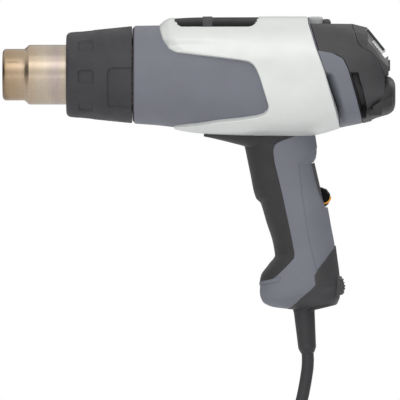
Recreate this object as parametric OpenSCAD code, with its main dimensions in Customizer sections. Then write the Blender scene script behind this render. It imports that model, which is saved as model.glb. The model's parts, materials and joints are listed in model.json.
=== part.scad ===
// Hot air gun with a pistol grip, in its own casings, with its mains lead coiled below it.
// The nozzle points along -X, the grip hangs along -Z and the operator stands at +X.
// The origin is the middle of the hand grip. All sizes are in millimetres.

/* [Body] */
// Width of the body across its covers
body_w = 86; // [74:1:104]
// Height of the barrel's axis above the middle of the grip
axis_z = 86; // [84:1:104]
// Distance from the grip's middle forward to the front edge of the housing
housing_front = 107; // [104:1:130]
// Distance from the grip's middle back to the flat of the rear bumper
rear_reach = 65; // [64:0.5:78]
// Diameter of the round front end of the housing
front_d = 64.6; // [64:0.2:74]
// Height of the cover's top line above the barrel's axis
cover_rise = 38.4; // [38:0.2:46]
// Depth of the cover's lowest line below the barrel's axis
cover_drop = 43; // [42:0.5:47]
// Wall of the housing
wall = 2.4; // [1.8:0.1:2.8]

/* [Hot air outlet] */
// Outer diameter of the outlet tip, which nozzles push onto
tip_d = 34; // [28:0.5:37]
// Length of the outlet tip
tip_length = 14; // [11:0.5:20]
// Outer diameter of the tube behind the tip
tube_d = 39.4; // [38.6:0.2:42]
// Wall of the tube
tube_wall = 0.8; // [0.6:0.1:1]
// Length of tube that shows in front of the guard
tube_reach = 42; // [35:1:55]
// Length of the guard sleeve
guard_length = 43.4; // [36:0.2:60]
// Diameter of the guard sleeve at its front
guard_front_d = 55.4; // [52:0.2:62]
// Diameter of the guard sleeve at its rear
guard_rear_d = 64; // [62:0.2:70]
// Wall of the guard sleeve
guard_wall = 3; // [2.6:0.1:3.4]
// Depth of the recesses in the guard sleeve
recess_depth = 1.2; // [0.6:0.1:1.5]
// Number of recesses around the guard sleeve
recess_count = 8; // [6:1:10]

/* [Heater] */
// Radius of the middle of the heating wire's turns
coil_r = 14.2; // [13.4:0.1:15]
// Diameter of the heating wire
heating_wire_d = 1.6; // [1:0.1:2]
// Number of turns of the heating wire
heating_turns = 11; // [8:1:12]
// Thickness of the ceramic discs that carry the heater
disc_t = 2.8; // [2:0.1:4]

/* [Fan and motor] */
// Diameter of the motor's can
motor_d = 32; // [28:0.5:36]
// Length of the motor's can
motor_length = 35; // [30:0.5:40]
// Diameter of the motor's shaft
shaft_d = 3; // [2.5:0.1:4]
// Radial clearance of the shaft in its bearings
shaft_clearance = 0.05; // [0.02:0.01:0.08]
// Number of fan blades
blade_count = 7; // [5:1:9]
// Length of the fan along its axis
fan_length = 15; // [12:0.5:17]
// Wall of the air duct
duct_wall = 1.4; // [1.2:0.1:2]

/* [Grip] */
// Lean of the grip, its foot towards the rear, in degrees
grip_lean = 13; // [11:0.5:15]
// Width of the grip at its middle
grip_w = 35; // [32:0.5:42]
// Width of the hollow in the grip
grip_hollow_w = 24; // [20:0.5:25]

/* [Controls] */
// Travel of the slide switch
slide_travel = 14; // [8:0.5:14]
// Width of the slide switch's knob
knob_w = 12.4; // [10:0.2:13]
// Width of one keypad button
button_w = 8; // [6:0.2:8.4]
// Height of one keypad button
button_h = 7; // [5:0.2:7.4]
// Distance from one keypad button to the next
button_pitch = 10; // [10:0.2:11]
// Clearance around a button in its opening
button_gap = 0.3; // [0.2:0.05:0.4]

/* [Mains lead] */
// Diameter of the mains lead
lead_d = 8.2; // [7:0.1:8.4]
// Length of the strain relief's taper
relief_length = 28.5; // [24:0.5:30]
// Diameter of the strain relief where it leaves the grip
relief_d = 14; // [12:0.5:14.5]
// Radius of the middle of the coil's outer turns
turn_r = 48.2; // [46:0.2:50]
// Length of the plug's body
plug_length = 40; // [36:0.5:46]
// Width of the plug's body
plug_w = 35; // [33:0.5:36]
// Distance between the plug's pins
pin_pitch = 19; // [18.5:0.1:19.2]
// Diameter of the plug's pins
pin_d = 4.8; // [4:0.1:5]

/* [Hidden] */
$fn = 64;

gap = 0.3;
fine = 0.1;
far = 200;
half_w = body_w / 2;
front_r = front_d / 2;
section_sides = 28;
slice_t = 0.1;

// Stations along X: place, top, bottom, half width and roundness of the section
core_stations = [
    [-housing_front, axis_z + front_r, axis_z - front_r, front_r, 2],
    [-60, axis_z + front_r + 0.8, axis_z - 37, half_w - 5, 2.4],
    [0, axis_z + front_r + 2, axis_z - 39.5, half_w - 2.5, 2.6],
    [30, axis_z + front_r + 1.7, axis_z - 34, half_w - 3, 2.6],
    [45, axis_z + 26, axis_z - 30, half_w - 5, 2.6],
    [56, axis_z + 10, axis_z - 25.5, half_w - 12, 2.4]];
outer_stations = [
    [-92, axis_z + front_r + 0.5, axis_z - 33.5, front_r + 1, 2],
    [-83.5, axis_z + cover_rise - 1.1, axis_z - 35.4, half_w - 6.6, 2.2],
    [-61.4, axis_z + cover_rise, axis_z - cover_drop + 3.6, half_w - 2.6, 2.5],
    [-6.6, axis_z + cover_rise, axis_z - cover_drop, half_w, 2.6],
    [6.6, axis_z + cover_rise, axis_z - cover_drop + 1, half_w, 2.6],
    [29, axis_z + cover_rise - 2.8, axis_z - 35.4, half_w - 0.6, 2.6],
    [46.7, axis_z + cover_rise - 7.2, axis_z - 31.6, half_w - 3, 2.6],
    [60.2, axis_z + 14.4, axis_z - 26.9, half_w - 8, 2.5],
    [rear_reach - slice_t, axis_z - 5, axis_z - 20, half_w - 13, 2.4]];

// Stations down the grip: place along it, front, back, half width and roundness
grip_half = grip_w / 2;
upper_stations = [
    [46, -24.5, 23, grip_half - 0.5, 2.3],
    [28, -24.4, 19.6, grip_half - 0.5, 2.3],
    [9, -24.7, 18.2, grip_half - 0.5, 2.3]];
lower_stations = [
    [12, -22.4, 18, grip_half - 0.5, 2.3],
    [-6.8, -21.2, 20.4, grip_half, 2.3],
    [-27, -20, 19.6, grip_half + 0.5, 2.3]];
foot_stations = [
    [-26, -20, 19.6, grip_half + 0.5, 2.3],
    [-40, -33, 18.4, grip_half + 1.5, 2.3],
    [-53, -36.5, 17, grip_half + 2, 2.3],
    [-57, -35.9, 16.2, grip_half + 1.5, 2.3],
    [-61, -32, 15.5, grip_half - 0.5, 2.2],
    [-66, -19.5, 14, grip_half - 2.5, 2.2],
    [-69.6, -8, 11.5, grip_half - 6, 2.2]];

// Side outlines of the casings, as X and Z. The height follows the barrel's axis.
function at_axis(points) = [for (p = points) [p[0], p[1] + axis_z]];
cover_rear_edge = at_axis([[6.5, 50], [7.9, 33.5], [12.9, 17], [18.3, 2.2], [28.7, -35.2], [33, -50]]);
cover_front_edge = at_axis([[-80, -60], [-80.5, -35.2], [-65.3, -34.4], [-51.5, -32.3],
    [-37, -30.8], [-21.5, -27.5], [-18.5, -23.1], [-18.7, -20.7], [-24.2, -2.6], [-28.4, 6.3],
    [-33.7, 8.9], [-79.2, 15.4], [-83.8, 18.1], [-87.8, 24], [-90.4, 31.6], [-91, 50]]);
cap_front_edge = at_axis([[7.4, 50], [9, 33.5], [14.2, 15.6], [23.6, 13.9], [30.4, 10.2],
    [33.7, 3.5], [39.1, -15.4], [43.5, -31.9], [46, -50]]);
split_line = at_axis([[36, 50], [36.2, 34.8], [40.3, 20.9], [42.9, 17.6], [50.2, 13.7],
    [54.1, 8.4], [56.1, 3.1]]);
bumper_front_edge = at_axis([[58.1, -1.5], [58, -16.5], [49.8, -21.1], [51, -50]]);
window_outline = at_axis([[-82, 42], [-79.9, 37.2], [-77.6, 33], [-75.2, 31.2], [-31.5, 31.2],
    [-28.4, 32.6], [-25.2, 36.6], [-22.6, 42]]);
intake_1 = at_axis([[18.3, 2.2], [23.4, 1.2], [25.2, -1], [30.4, -15.4], [33.4, -26.6],
    [30.4, -34], [28.7, -34]]);
intake_2 = at_axis([[35.2, 0.8], [39.1, -0.9], [41.2, -4.6], [46.5, -23.3], [46.5, -26.8],
    [43.2, -29.5]]);
function backwards(points) = [for (i = [len(points) - 1:-1:0]) points[i]];
function moved(points, x, z) = [for (p = points) [p[0] + x, p[1] + z]];

// Side outlines on the grip, in its own leaning frame
soft_outline = [[-80, -44], [-33.9, -44], [-29.3, -44.7], [-24.2, -43.2], [-12.3, -35.8],
    [-8.4, -33.3], [-7.7, -9.7], [-7.4, 11.9], [-7.6, 28.8], [-6.9, 37.5], [-4.6, 41.7],
    [2, 44], [2, 60], [-80, 60]];
module_outline = [[21, -31.5], [2.9, -46.1], [1, -48.3], [0.5, -53.6], [-2, -55.8],
    [-18.4, -64.9], [-20, -74], [21, -74]];

// Places of the outlet, counted from the housing's front
guard_rear_x = -housing_front - 1.2;
guard_front_x = guard_rear_x - guard_length;
tip_x = guard_front_x - tube_reach;
tube_r = tube_d / 2;
tip_r = tip_d / 2;
tube_bore = tube_r - tube_wall;
crease_x = tip_x + tip_length;
shoulder_x = crease_x + 4;
tube_end_x = -housing_front + 6;
flange_r = tube_r + 4;
rim_r = 2;

// Places inside the barrel
front_disc_x = shoulder_x + 1;
mica_r = tube_bore - 0.3;
mica_t = 0.6;
rear_disc_x = -housing_front - 4;
heating_steps = 14;
frame_r = (coil_r - heating_wire_d / 2) * cos(180 / heating_steps) - 0.2;
coil_x = front_disc_x + disc_t + 3;
coil_length = rear_disc_x - coil_x - 3;
sensor_r = 1;
fan_r = min(28.6, half_w - 8);
duct_r = fan_r + 1.2 + duct_wall;
duct_neck_r = 23.8;
duct_front_x = -housing_front + 10;
duct_rear_x = 28;
motor_r = motor_d / 2;
motor_front_x = 5 - motor_length;
motor_rear_x = 5;
can_wall = 1.4;
bearing_r = shaft_d / 2 + 2;
fan_x = 9;
shaft_r = shaft_d / 2;

// Places of the controls
panel_x = 60.4;
panel_lean = 51;
panel_mid = [53.15, axis_z + 23.05];
button_z = axis_z + 6;
button_face = 1.3;
flange_x = 54;
board_x = 49;
board_t = 1.6;
knob_r = 6.9;
knob_f = 16.6;
knob_s = 1.2;
slot_f = 18.4;
stem_w = 3.6;
stem_h = 4.4;

// Screws of the housing, as X, Z and the depth of the head's seat
body_screws = [[-92, axis_z - 27.6, 10], [-92, axis_z + 27.6, 10], [-48, axis_z + 28, 13],
    [-62, axis_z - 31.8, 11], [38.3, axis_z - 26.6, 16]];
grip_screws = [[-2, 36, 11], [-24, -52, 10]];
screw_r = 1.4;
head_r = 2.9;
head_t = 2;
boss_r = 3.4;

// Places of the mains lead below the grip
relief_tilt = 4.7;
relief_x = 5.3;
relief_z = -69.3;
relief_end_r = lead_d / 2 + 0.3;
cord_r = lead_d / 2;
cord_sides = 10;
lead_end = [relief_x + relief_length * sin(relief_tilt), 0, relief_z - relief_length * cos(relief_tilt)];
coil_centre = [22, 0, -206];
inner_turn_r = turn_r - lead_d;
lead_route = [[7.8, 0, -102], [7.6, 0, -107], [6.8, 0, -113], [5.8, 0, -119], [4.4, 0, -126],
    [2.4, -1, -134], [-0.4, -2, -143], [-4, -3, -152], [-8.4, -4, -161], [-13, -5, -170],
    [-17.4, -6, -179], [-21.4, -7, -188], [-24.6, -8, -197], [-26.2, -8.2, -206]];
tail_route = [[-18, -12.3, -206], [-18, -13.4, -214], [-17.8, -16.6, -222], [-17.4, -21, -230],
    [-17, -25.6, -238], [-16.4, -29, -246], [-16, -30.7, -254], [-16, -31, -262]];
plug_place = [-16, -31, -262];
plug_relief = 28;
plug_t = 26;
pin_length = 19;
pin_insulator = 10;

// ---- Helpers ----

// Solid between two Y planes over a side outline given as X and Z
module side_prism(points, y0, y1) {
    translate([0, y1, 0]) rotate([90, 0, 0]) linear_extrude(height = y1 - y0) polygon(points);
}

// Cylinder along X from one place to another about the barrel's axis
module barrel_rod(r, x0, x1) {
    translate([x0, 0, axis_z]) rotate([0, 90, 0]) cylinder(r = r, h = x1 - x0);
}

// Ring along X about the barrel's axis
module barrel_ring(r_out, r_in, x0, x1) {
    difference() {
        barrel_rod(r_out, x0, x1);
        barrel_rod(r_in, x0 - 1, x1 + 1);
    }
}

// Turned shape about the barrel's axis, from points given as radius and X
module barrel_turned(points) {
    translate([0, 0, axis_z]) rotate([0, 90, 0]) rotate_extrude() polygon(points);
}

// Children in the leaning frame of the grip: X is its front and back, Z runs along it
module on_grip() {
    rotate([0, -grip_lean, 0]) children();
}

// Children in the frame of the sloping display panel: X runs down it, Z leaves it
module on_panel() {
    translate([panel_mid[0], 0, panel_mid[1]]) rotate([0, panel_lean, 0]) children();
}

// Cylinder along Y at a place given as X and Z
module cross_rod(x, z, r, y0, y1) {
    translate([x, y1, z]) rotate([90, 0, 0]) cylinder(r = r, h = y1 - y0);
}

// Box given by its lowest and highest corners
module box(low, high) {
    translate(low) cube(high - low);
}

// Rounded section: a superellipse of the given half sizes
function section(half_x, half_y, power) = [for (i = [0:section_sides - 1])
    let (a = 360 * i / section_sides, c = cos(a), s = sin(a))
    [half_x * sign(c) * pow(abs(c), 2 / power), half_y * sign(s) * pow(abs(s), 2 / power)]];

// Body shape blended through its stations, drawn in from its surface by an inset
module body_form(stations, inset) {
    hull() for (st = stations)
        translate([st[0], 0, (st[1] + st[2]) / 2]) rotate([90, 0, 90])
            linear_extrude(height = slice_t)
                polygon(section(st[3] - inset, (st[1] - st[2]) / 2 - inset, st[4]));
}

// Part of the grip blended through its stations
module grip_form(stations, inset) {
    on_grip() hull() for (st = stations)
        translate([(st[1] + st[2]) / 2, 0, st[0]]) linear_extrude(height = slice_t)
            polygon(section((st[2] - st[1]) / 2 - inset, st[3] - inset, st[4]));
}

module grip_solid() {
    grip_form(upper_stations, 0);
    grip_form(lower_stations, 0);
    grip_form(foot_stations, 0);
}

// Hollow of the grip, from the terminal space up into the body
module grip_hollow(grow) {
    w = grip_hollow_w / 2 + grow;
    on_grip() {
        translate([-1.7, 0, -44 - grow]) linear_extrude(height = 100 + grow) polygon(section(15.3 + grow, w, 3));
        translate([-13, 0, -56 - grow]) linear_extrude(height = 14 + 2 * grow) polygon(section(11 + grow, w, 3));
    }
}

module half_space(side) {
    translate([-far, side > 0 ? 0 : -far, -far]) cube([2 * far, far, 2 * far]);
}

// Opening in the grip's foot for the strain relief's collar
module relief_bore(r) {
    translate([relief_x, 0, relief_z]) rotate([0, -relief_tilt, 0])
        translate([0, 0, -4]) cylinder(r = r, h = 20);
}

// ---- Hot air outlet ----

module outlet_tube() {
    corner = [for (a = [0:15:90]) [tip_r - rim_r + rim_r * sin(a), tip_x + rim_r - rim_r * cos(a)]];
    inner_corner = [[tip_r - tube_wall, tip_x + rim_r], [tip_r - rim_r, tip_x + tube_wall]];
    color("tan") barrel_turned(concat(corner, [
        [tip_r, crease_x], [tip_r + 0.6, crease_x + 1], [tube_r - 0.6, shoulder_x - 1],
        [tube_r, shoulder_x], [tube_r, tube_end_x - tube_wall], [flange_r, tube_end_x - tube_wall],
        [flange_r, tube_end_x], [tube_bore, tube_end_x], [tube_bore, shoulder_x],
        [tip_r - tube_wall, crease_x]], inner_corner));
}

// One recess in the guard, turned about the barrel
module guard_recess(angle, x0, x1, width, r) {
    translate([0, 0, axis_z]) rotate([angle, 0, 0])
        box([x0, -width / 2, r - recess_depth], [x1, width / 2, r + 8]);
}

module guard_sleeve() {
    front_r0 = guard_front_d / 2;
    rear_r0 = guard_rear_d / 2;
    round_r = 3;
    recess_x = guard_front_x + 13;
    color("dimgray") difference() {
        barrel_turned([[tube_r + 3, guard_front_x], [front_r0 - round_r, guard_front_x],
            [front_r0 - 0.9, guard_front_x + 0.9], [front_r0, guard_front_x + round_r],
            [rear_r0, guard_rear_x], [rear_r0 - guard_wall, guard_rear_x],
            [front_r0 - guard_wall + 0.2, guard_front_x + round_r + 1],
            [tube_r + 3, guard_front_x + round_r]]);
        for (i = [0:recess_count - 1])
            guard_recess(360 * i / recess_count + 3, recess_x - 5.2, recess_x + 5.2, 10,
                (front_r0 + rear_r0) / 2 - 0.9);
        for (side = [-1, 1])
            guard_recess(side * 106, guard_rear_x - 16, guard_rear_x + 1, 29, rear_r0 - 1.2);
    }
}

module tube_mount() {
    ring_r = front_r - wall - 0.5;
    color("wheat") difference() {
        barrel_rod(ring_r, -housing_front + 1, duct_front_x - gap);
        barrel_rod(tube_r + 0.2, -housing_front, tube_end_x - tube_wall - 0.1);
        barrel_rod(flange_r + 0.3, tube_end_x - tube_wall - 0.1, tube_end_x + 0.2);
        barrel_rod(tube_bore, tube_end_x, duct_front_x + 1);
    }
}

// ---- Heater ----

module mica_tube() {
    color("khaki") barrel_ring(mica_r, mica_r - mica_t, front_disc_x + disc_t + 0.2, tube_end_x - 1);
}

// Ceramic disc with a middle hole for the sensor and a circle of air holes
module ceramic_disc(r, x) {
    hole_count = 8;
    hole_circle = 11.4;
    difference() {
        barrel_rod(r, x, x + disc_t);
        barrel_rod(sensor_r + 1, x - 1, x + disc_t + 1);
        for (i = [0:hole_count - 1]) translate([0, 0, axis_z]) rotate([360 * (i + 0.5) / hole_count, 0, 0])
            translate([x - 1, 0, hole_circle]) rotate([0, 90, 0]) cylinder(r = 3, h = disc_t + 2);
    }
}

module front_disc() {
    color("ivory") ceramic_disc(mica_r, front_disc_x);
}

module rear_disc() {
    color("ivory") ceramic_disc(mica_r - mica_t - 0.2, rear_disc_x);
}

module heater_frame() {
    x0 = front_disc_x + disc_t + 0.4;
    x1 = rear_disc_x - 0.2;
    vane_t = 1;
    color("khaki") difference() {
        union() {
            barrel_rod(sensor_r + 2, x0, x1);
            for (a = [45, 135]) translate([0, 0, axis_z]) rotate([a, 0, 0])
                box([x0 + vane_t, -frame_r, -vane_t / 2], [x1 - vane_t, frame_r, vane_t / 2]);
        }
        barrel_rod(sensor_r + 0.4, x0 - 1, x1 + 1);
    }
}

// Closed tube swept through rings of points, each ring given as a list
module swept(rings) {
    sides = len(rings[0]);
    count = len(rings);
    walls = [for (i = [0:count - 2], j = [0:sides - 1]) let (k = (j + 1) % sides)
        [i * sides + j, i * sides + k, (i + 1) * sides + k, (i + 1) * sides + j]];
    polyhedron(points = [for (ring = rings, p = ring) p],
        faces = concat(walls, [[for (j = [sides - 1:-1:0]) j]],
            [[for (j = [0:sides - 1]) (count - 1) * sides + j]]));
}

module heating_coil() {
    steps = heating_steps;
    sides = 6;
    wire_r = heating_wire_d / 2;
    rings = [for (i = [0:heating_turns * steps]) let (a = 360 * i / steps)
        [for (j = [0:sides - 1]) let (b = -360 * j / sides, r = coil_r + wire_r * cos(b))
            [coil_x + coil_length * i / (heating_turns * steps) - wire_r * sin(b),
                r * cos(a), axis_z + r * sin(a)]]];
    color("silver") swept(rings);
}

module temperature_sensor() {
    color("gray") barrel_rod(sensor_r, front_disc_x - 5, rear_disc_x + disc_t + 6);
}

// ---- Fan and motor ----

duct_profile = [[duct_neck_r, duct_front_x], [duct_neck_r, -42], [duct_r, 6], [duct_r, duct_rear_x]];

module air_duct() {
    inner = [for (p = backwards(duct_profile)) [p[0] - duct_wall, p[1]]];
    vane_x = motor_front_x + 4;
    color("dimgray") union() {
        barrel_turned(concat(duct_profile, inner));
        for (a = [30, 150, 270]) intersection() {
            barrel_turned(concat([[0, duct_front_x]], duct_profile, [[0, duct_rear_x]]));
            translate([0, 0, axis_z]) rotate([a, 0, 0])
                box([vane_x, -0.8, motor_r + 0.1], [vane_x + 18, 0.8, far]);
        }
    }
}

module motor_can() {
    boss = bearing_r + 2;
    color("lightgray") difference() {
        union() {
            barrel_rod(motor_r, motor_front_x, motor_rear_x);
            barrel_rod(boss, motor_front_x - 3, motor_rear_x + 3);
        }
        barrel_rod(motor_r - can_wall, motor_front_x + can_wall, motor_rear_x - can_wall);
        barrel_rod(bearing_r, motor_front_x - 4, motor_rear_x + 4);
    }
}

module motor_magnets() {
    color("darkslategray") for (a = [25, 205]) translate([motor_front_x + 8, 0, axis_z])
        rotate([a, 0, 0]) rotate([0, 90, 0]) rotate_extrude(angle = 130)
            translate([motor_r - can_wall - 4.2, 0]) square([4, motor_length - 12]);
}

module carbon_brushes() {
    color("black") for (side = [-1, 1]) translate([0, 0, axis_z]) rotate([side * 90, 0, 0])
        box([motor_front_x + 3, -1.5, shaft_r + 2.6], [motor_front_x + 6, 1.5, shaft_r + 8]);
}

module bearing(x) {
    color("goldenrod") barrel_ring(bearing_r, shaft_r + shaft_clearance, x, x + 4);
}

module bearing_front() {
    bearing(motor_front_x - 2.8);
}

module bearing_rear() {
    bearing(motor_rear_x - 1.2);
}

module motor_shaft() {
    color("silver") barrel_rod(shaft_r, motor_front_x - 4, fan_x + fan_length - 1);
}

module armature() {
    slot_count = 5;
    armature_r = motor_r - can_wall - 5.4;
    x0 = motor_front_x + 9;
    x1 = motor_rear_x - 6;
    color("peru") difference() {
        barrel_rod(armature_r, x0, x1);
        barrel_rod(shaft_r, x0 - 1, x1 + 1);
        for (i = [0:slot_count - 1]) translate([0, 0, axis_z]) rotate([360 * i / slot_count, 0, 0])
            box([x0 - 1, -0.8, armature_r - 3], [x1 + 1, 0.8, armature_r + 1]);
    }
}

module commutator() {
    color("orange") barrel_ring(shaft_r + 2.4, shaft_r, motor_front_x + 2.6, motor_front_x + 6.4);
}

module impeller() {
    hub_r = 8;
    pitch_angle = 35;
    color("gray") difference() {
        union() {
            barrel_rod(hub_r, fan_x, fan_x + fan_length);
            intersection() {
                barrel_rod(fan_r, fan_x + 0.5, fan_x + fan_length - 0.5);
                for (i = [0:blade_count - 1]) translate([fan_x + fan_length / 2, 0, axis_z])
                    rotate([360 * i / blade_count, 0, 0]) rotate([0, 0, pitch_angle])
                        box([-10, -0.7, hub_r - 1], [10, 0.7, fan_r + 3]);
            }
        }
        barrel_rod(shaft_r, fan_x - 1, fan_x + fan_length + 1);
    }
}

// ---- Housing ----

// Openings of both intakes through the casings' sides
module intake_cuts(outline) {
    side_prism(outline, 18, far);
    side_prism(outline, -far, -18);
}

module band_outline() {
    side_prism(concat(moved(cover_rear_edge, gap, 0), backwards(cap_front_edge)), -far, far);
}

// Both halves of the housing as one piece: barrel casing, rear band and the grip's shell
module housing_shape() {
    difference() {
        union() {
            body_form(core_stations, 0);
            intersection() {
                body_form(outer_stations, 0.5);
                band_outline();
            }
            difference() {
                grip_solid();
                on_grip() side_prism(soft_outline, -far, far);
                on_grip() side_prism(moved(module_outline, -gap, gap), -far, far);
            }
            grip_hollow(wall - 0.2);
        }
        body_form(core_stations, wall);
        grip_hollow(0);
        on_grip() side_prism(moved(module_outline, -gap, gap), -far, far);
        barrel_rod(front_r - wall, -housing_front - 1, -housing_front + 6);
        intake_cuts(intake_1);
        intake_cuts(intake_2);
        box([50, -24.5, axis_z - 1], [far, 24.5, axis_z + 12.5]);
        relief_bore(relief_d / 2 + 0.2);
        box(lens_low - [fine, fine, fine], lens_high + [fine, fine, fine]);
        on_grip() box([1, -6.8, -13], [13.7, 6.8, 27]);
        on_grip() box([13, -7.5, -5.7], [far, 7.5, 24.7]);
    }
}

// Places a child at each screw of the housing
module at_screws() {
    for (s = body_screws) translate([s[0], s[2], s[1]]) children();
    on_grip() for (s = grip_screws) translate([s[0], s[2], s[1]]) children();
}

module screw_boss(side) {
    for (s = body_screws) cross_rod(s[0], s[1], boss_r, side > 0 ? 0 : -s[2] - 2, side > 0 ? s[2] + 2 : 0);
    on_grip() for (s = grip_screws)
        cross_rod(s[0], s[1], boss_r, side > 0 ? 0 : -s[2] - 2, side > 0 ? s[2] + 2 : 0);
}

module housing_left() {
    pilot = 11;
    color("slategray") difference() {
        union() {
            intersection() {
                housing_shape();
                half_space(-1);
            }
            screw_boss(-1);
            for (x = clamp_screw_x) cross_rod(x, clamp_z, 2.6, -12.2, -5);
        }
        at_screws() rotate([90, 0, 0]) cylinder(r = screw_r + 0.1, h = 19 + pilot);
        for (x = clamp_screw_x) cross_rod(x, clamp_z, 1.1, -11, 0);
    }
}

module housing_right() {
    color("slategray") difference() {
        union() {
            intersection() {
                housing_shape();
                half_space(1);
            }
            screw_boss(1);
        }
        at_screws() rotate([90, 0, 0]) cylinder(r = screw_r + 0.3, h = 30);
        at_screws() rotate([-90, 0, 0]) cylinder(r = head_r + 0.3, h = 30);
    }
}

module housing_screws() {
    color("silver") at_screws() difference() {
        union() {
            translate([0, 0.05, 0]) rotate([-90, 0, 0]) cylinder(r = head_r, h = head_t);
            rotate([90, 0, 0]) translate([0, 0, -0.1]) cylinder(r = screw_r, h = 16);
        }
        translate([0, head_t - 0.4, 0]) cube([3.2, 1.6, 0.7], center = true);
        translate([0, head_t - 0.4, 0]) cube([0.7, 1.6, 3.2], center = true);
    }
}

// One half of the light cover, which wraps the barrel above and below a window
module cover_half(side) {
    color("whitesmoke") difference() {
        intersection() {
            body_form(outer_stations, 0);
            half_space(side);
            side_prism(concat(cover_front_edge, cover_rear_edge), -far, far);
        }
        body_form(core_stations, -fine);
        side_prism(window_outline, -far, far);
        grip_hollow(wall - fine);
        intersection() {
            grip_form(upper_stations, -fine);
            on_grip() box([-9, -far, -far], [far, far, far]);
        }
    }
}

module cover_left() {
    cover_half(-1);
}

module cover_right() {
    cover_half(1);
}

window_bar_x = [-61.4, -55.4];

// Slice of the space above the core and inside the covers' top opening
module window_slice(x0, x1, inset) {
    difference() {
        intersection() {
            body_form(outer_stations, inset);
            side_prism(moved(window_outline, 0, gap), -far, far);
            box([x0, -far, axis_z], [x1, far, axis_z + far]);
        }
        body_form(core_stations, -fine);
    }
}

module top_windows() {
    color("black") {
        window_slice(-90, window_bar_x[0] - fine, 1);
        window_slice(window_bar_x[1] + fine, -10, 1);
    }
}

module window_bar() {
    color("gray") window_slice(window_bar_x[0], window_bar_x[1], 0.3);
}

// ---- Rear casings ----

lens_low = [8.6, -9, axis_z + 33.4];
lens_high = [17.4, 9, axis_z + cover_rise];

module indicator_lens() {
    lens_round = 60;
    color("whitesmoke") intersection() {
        box(lens_low, lens_high);
        translate([0, 0, lens_high[2] - 0.6 - lens_round]) rotate([0, 90, 0])
            cylinder(r = lens_round, h = 40);
    }
}

module rear_cap() {
    color("dimgray") difference() {
        intersection() {
            body_form(outer_stations, 0.4);
            side_prism(concat(moved(cap_front_edge, gap, 0), backwards(moved(bumper_front_edge, -gap, 0)),
                backwards(moved(split_line, -gap, -gap))), -far, far);
        }
        body_form(core_stations, -fine);
        intake_cuts(intake_2);
        box(lens_low - [far, fine, fine], lens_high + [fine, fine, far]);
        cross_rod(body_screws[4][0], body_screws[4][1], head_r + 1.5, 0, far);
    }
}

module button_openings(grow) {
    for (i = [0:3]) box([flange_x + 1.5, button_y(i) - button_w / 2 - grow, button_z - button_h / 2 - grow],
        [far, button_y(i) + button_w / 2 + grow, button_z + button_h / 2 + grow]);
}

module display_housing() {
    color("dimgray") difference() {
        intersection() {
            body_form(outer_stations, 0);
            side_prism(concat(split_line, at_axis([[58.1, -1.5], [panel_x, -0.9], [panel_x, 50]])), -far, far);
        }
        body_form(core_stations, -fine);
        on_panel() box([-9.2, -21.7, -3.9], [8.8, 21.7, 10]);
        on_panel() box([-1.2, -far, -4], [13, far, 10]);
        button_openings(button_gap);
        box([flange_x - 3, -24.5, button_z - 5], [flange_x + 2, 24.5, button_z + 5]);
    }
}

module display_trim() {
    color("silver") difference() {
        intersection() {
            body_form(outer_stations, 0.1);
            on_panel() box([-1, -far, -3.8], [9.6, far, -0.3]);
        }
        body_form(core_stations, -fine);
        on_panel() box([-2, -22, -6], [8.9, 22, 2]);
    }
}

module display_lens() {
    color("black") on_panel() box([-9, -21.5, -1.5], [8.6, 21.5, -0.2]);
}

module display_module() {
    color("darkolivegreen") on_panel() box([-8, -19, -3.7], [7.6, 19, -1.6]);
}

function button_y(i) = (i - 1.5) * button_pitch;

// One keypad button: cap, retaining flange and the stem that works its switch
module button(i) {
    grow = 0.5;
    y = button_y(i);
    color("gray") union() {
        box([flange_x + 0.9, y - button_w / 2, button_z - button_h / 2],
            [panel_x + button_face, y + button_w / 2, button_z + button_h / 2]);
        box([flange_x, y - button_w / 2 - grow, button_z - button_h / 2 - grow],
            [flange_x + 1, y + button_w / 2 + grow, button_z + button_h / 2 + grow]);
        translate([board_x + board_t + 1.4, y, button_z]) rotate([0, 90, 0])
            cylinder(r = 1.5, h = flange_x - board_x - board_t - 1);
    }
}

module button_1() {
    button(0);
}

module button_2() {
    button(1);
}

module button_3() {
    button(2);
}

module button_4() {
    button(3);
}

module control_board() {
    chip_x = board_x - 1.6;
    color("darkgreen") union() {
        box([board_x, -22, axis_z - 1], [board_x + board_t, 22, axis_z + 12]);
        box([chip_x, -7, axis_z + 1], [board_x + 0.1, 5, axis_z + 9]);
    }
}

// The rounded section leaves this share of the hollow's half width at the power board's height
board_chord = 0.448;
board_side_gap = 1.13;
board_half = (half_w - 7) * board_chord - board_side_gap;

module power_board() {
    low = [-50, -board_half, axis_z - 33];
    color("darkgreen") union() {
        box(low, [-14, board_half, low[2] + 1.6]);
        box([-46, -12, low[2] + 1.5], [-34, -2, low[2] + 3]);
        box([-30, 2, low[2] + 1.5], [-20, 12, low[2] + 3]);
    }
}

module rear_bumper() {
    color("darkslategray") difference() {
        intersection() {
            body_form(outer_stations, 0);
            side_prism(concat(bumper_front_edge, at_axis([[far, -50], [far, -5], [65, -5],
                [62.8, -2.5], [60.6, -1.5]])), -far, far);
        }
        body_form(core_stations, -fine);
    }
}

// Slotted dust screen that lies inside one intake side
module grille(side) {
    outline = at_axis([[19, 1], [45.5, 1], [50, -31], [26, -31]]);
    color("dimgray") difference() {
        intersection() {
            body_form(core_stations, wall + 0.2);
            side_prism(outline, side > 0 ? 18 : -far, side > 0 ? far : -18);
        }
        body_form(core_stations, wall + 1.6);
        intersection() {
            side_prism(at_axis([[22, -1.5], [43, -1.5], [46.5, -28.5], [28.5, -28.5]]), -far, far);
            for (z = [-28:4:-4]) box([20, -far, axis_z + z], [48, far, axis_z + z + 2]);
        }
        cross_rod(body_screws[4][0], body_screws[4][1], boss_r + 0.3, -far, far);
    }
}

module grille_left() {
    grille(-1);
}

module grille_right() {
    grille(1);
}

// ---- Grip ----

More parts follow.
